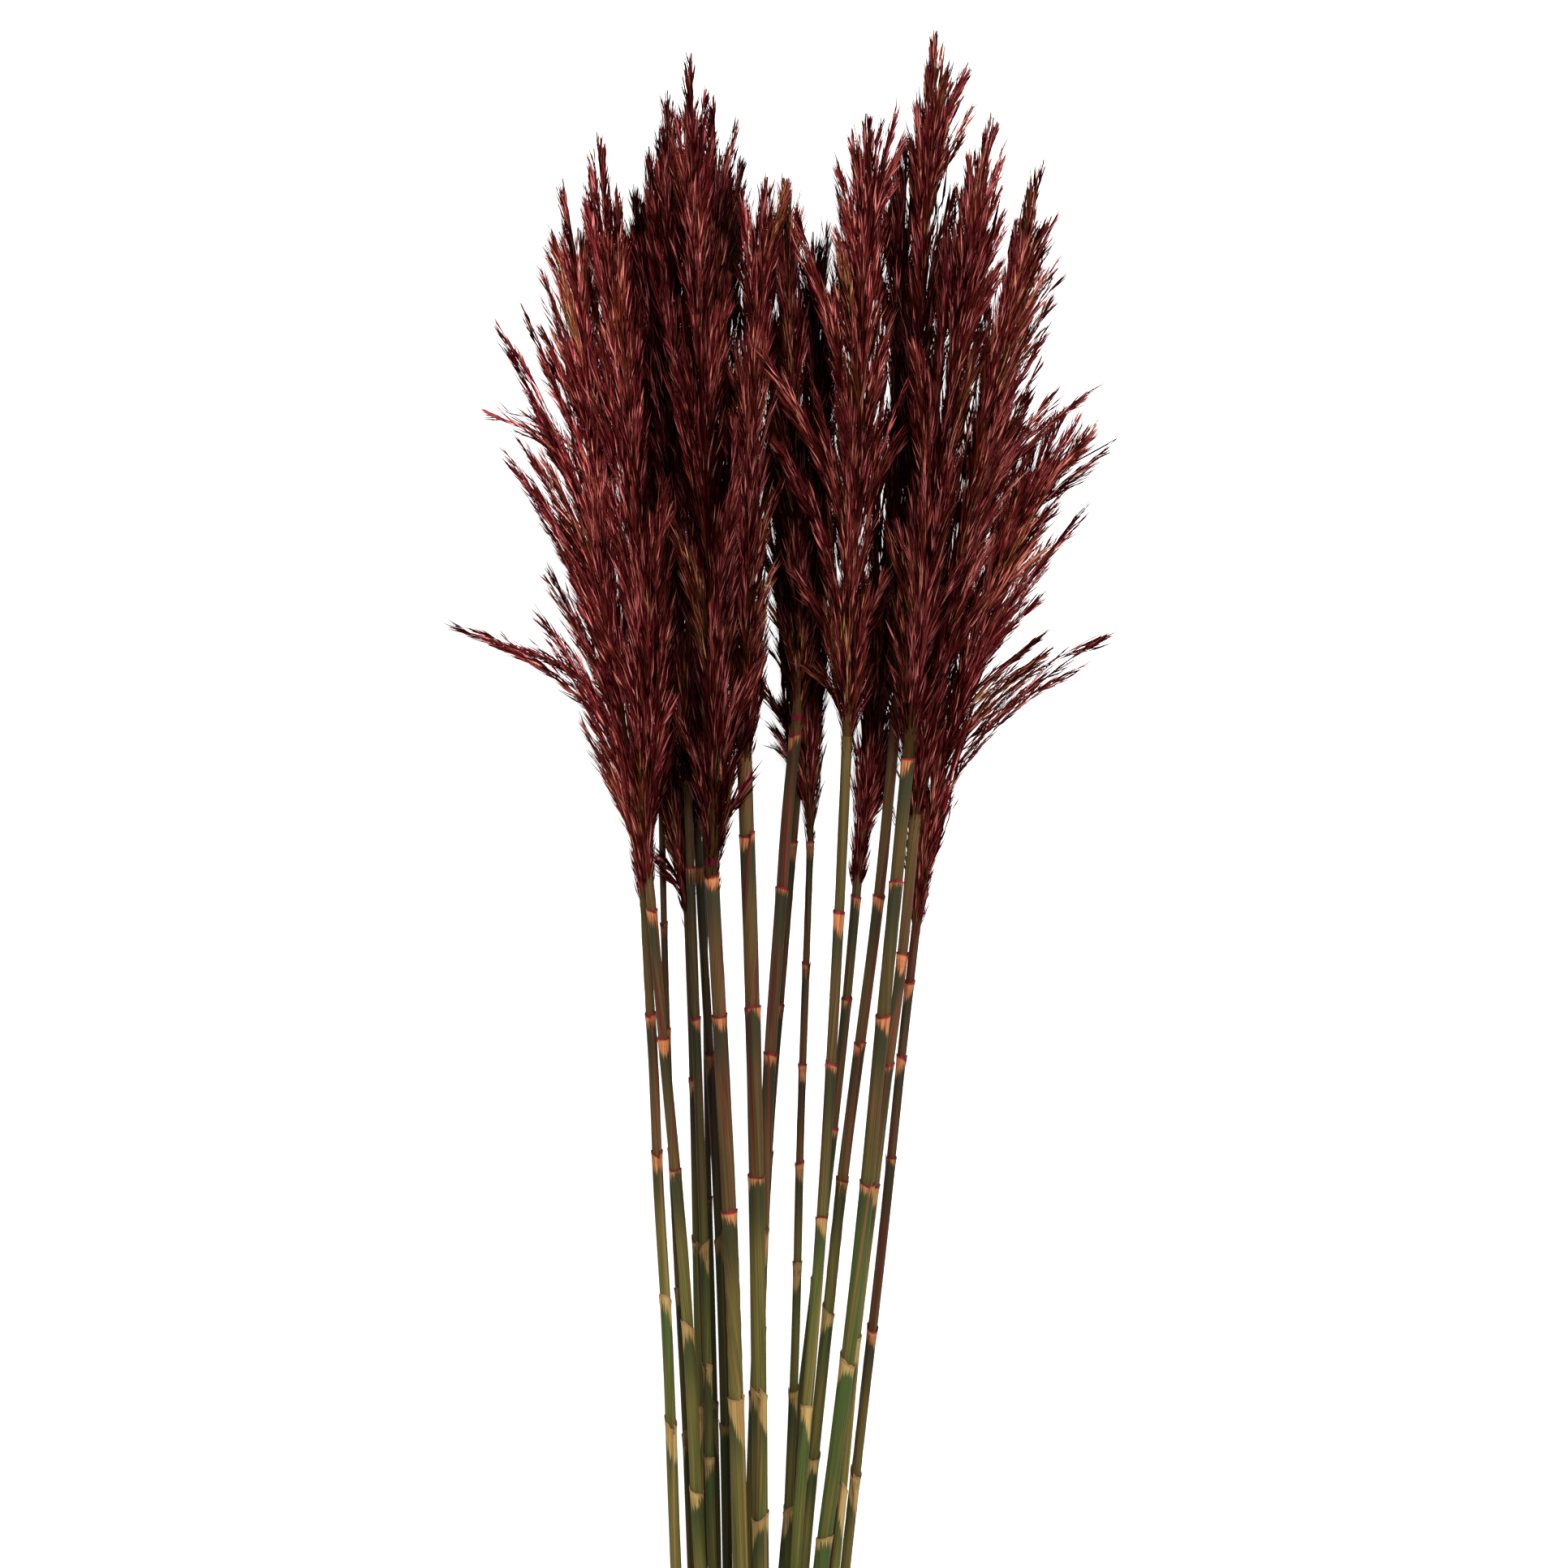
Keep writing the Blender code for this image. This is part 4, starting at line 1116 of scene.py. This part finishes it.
def culm_material():
    """Dyed leaf sheaths: brown and olive above, green below, with a pale patch under each rim."""
    shader = Shader("dyed_sheath_painted_shade")
    turn, below, past = (shader.attribute(name) for name in ("turn", "below", "past"))
    level, shade, stain = (shader.attribute(name) for name in ("level", "shade", "stain"))

    def streaks(around, upward):
        place = shader.vector(shader.times(turn, around), shader.times(level, upward), stain)
        return shader.noise(1.0, place)

    # The ground colour, which turns from green to brown and olive towards the plume
    broad, fine = streaks(6.0, 0.02), streaks(40.0, 0.015)
    high = shader.between(level, -95, -20)
    own = shader.times(shader.math("SUBTRACT", stain, 0.5), 0.3)
    mottle = shader.plus(broad, own)
    upper = shader.mix(shader.between(mottle, 0.35, 0.62), UPPER_OLIVE, UPPER_BROWN)
    upper = shader.mix(shader.between(mottle, 0.6, 0.75), upper, UPPER_RED)
    lower = shader.mix(shader.between(mottle, 0.3, 0.62), LOWER_GREEN, LOWER_STRAW)
    colour = shader.mix(high, lower, upper)
    colour = shader.scaled(colour, shader.between(fine, 0.3, 0.7, 0.65, 1.35))

    # A green zone under each rim, and in it the ragged pale patch
    under = shader.rest(shader.between(below, 8.0, 32.0))
    green = shader.mix(shader.between(mottle, 0.4, 0.6), BRIGHT_GREEN, DEEP_GREEN)
    green = shader.mix(high, green, DEEP_OLIVE)
    colour = shader.mix(shader.times(under, 0.8), colour, green)
    ragged = shader.plus(past, shader.between(fine, 0.35, 0.65, -1.6, 1.6))
    patch = shader.rest(shader.between(ragged, -1.8, 1.0))
    faded = shader.between(shader.plus(fine, shader.times(broad, 0.8)), 0.82, 1.12)
    pale = shader.mix(high, PALE_STRAW, PALE_ORANGE)
    pale = shader.mix(faded, pale, shader.mix(high, FADED_STRAW, FADED_ORANGE))
    colour = shader.mix(patch, colour, pale)

    # The rim's lip and the seam where the sheath overlaps itself
    lip = shader.rest(shader.between(below, 0.3, 1.2))
    reddish = shader.between(level, RED_LIPS_OVER, RED_LIPS_OVER + 6)
    red_lip = shader.mix(shader.between(broad, 0.4, 0.6), RED_LIP, DARK_LIP)
    colour = shader.mix(lip, colour, shader.mix(reddish, STRAW_LIP, red_lip))
    side = shader.math("MINIMUM", turn, shader.rest(turn))
    seam = shader.times(shader.rest(shader.between(side, 0.012, 0.04)), 0.6)
    colour = shader.mix(seam, colour, shader.mix(high, STRAW_SEAM, RED_SEAM))
    # Painted shade: the culms that lie deep behind are darker
    colour = shader.scaled(colour, shader.rest(shader.times(shade, 0.85)))
    shader.set("Base Color", colour)
    shader.set("Roughness", shader.between(fine, 0.3, 0.7, 0.5, 0.65))
    shader.set("Specular IOR Level", 0.05)
    shader.set("Specular Tint", (1.0, 0.85, 0.65, 1))
    shader.bump(fine, 0.35, 0.0003)
    return shader.material


def floor_material():
    """A white surface that glows a little, so that the shadows on it are faint."""
    shader = Shader("pale_floor")
    grain = shader.noise(30, shader.place((1, 1, 1)))
    shader.set("Base Color", shader.mix(grain, PAPER, PALE_PAPER))
    shader.set("Roughness", 0.9)
    shader.set("Specular IOR Level", 0.0)
    shader.set("Emission Color", (1, 1, 1, 1))
    shader.set("Emission Strength", FLOOR_GLOW)
    return shader.material


def make_floor():
    corners = np.array([(-1, -1, 0), (1, -1, 0), (1, 1, 0), (-1, 1, 0)]) * FLOOR_HALF
    faces = np.array([(0, 1, 2), (0, 2, 3)])
    mesh_object("studio_floor", [(corners, faces, {})], floor_material())


def make_light(name, place, size, power):
    """A round soft light that faces the middle of the view."""
    lamp = bpy.data.lights.new(name, "AREA")
    lamp.shape = "DISK"
    lamp.size = size
    lamp.energy = power
    made = bpy.data.objects.new(name, lamp)
    made.location = place
    aim = Vector((VIEW_X, VIEW_Y, 0)) * MM - made.location
    made.rotation_euler = aim.to_track_quat("-Z", "Y").to_euler()
    bpy.context.scene.collection.objects.link(made)


def make_camera():
    camera = bpy.data.cameras.new("camera")
    camera.sensor_width = SENSOR
    camera.lens = SENSOR * CAMERA_HEIGHT / VIEW_SIDE
    made = bpy.data.objects.new("camera", camera)
    made.location = np.array((VIEW_X, VIEW_Y, VIEW_LEVEL + CAMERA_HEIGHT)) * MM
    bpy.context.scene.collection.objects.link(made)
    bpy.context.scene.camera = made


def make_world():
    world = bpy.data.worlds.new("studio")
    world.use_nodes = True
    background = world.node_tree.nodes["Background"]
    background.inputs["Color"].default_value = (1, 1, 1, 1)
    background.inputs["Strength"].default_value = SKY_LIGHT
    bpy.context.scene.world = world
    bpy.context.scene.view_settings.view_transform = "Standard"


make_camera()
make_world()
make_floor()
for lamp in LAMPS:
    make_light(*lamp)
plume_red, culm_green = plume_material(), culm_material()
plumes = [plume(reed, plume_red) for reed in REEDS]
darken_the_deep(plumes)
for reed, made in zip(REEDS, plumes):
    for piece, node in ((culm(reed, culm_green), "culm"), (made, "plume")):
        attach(piece, "root")
        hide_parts(f"{node}_{reed.number}")
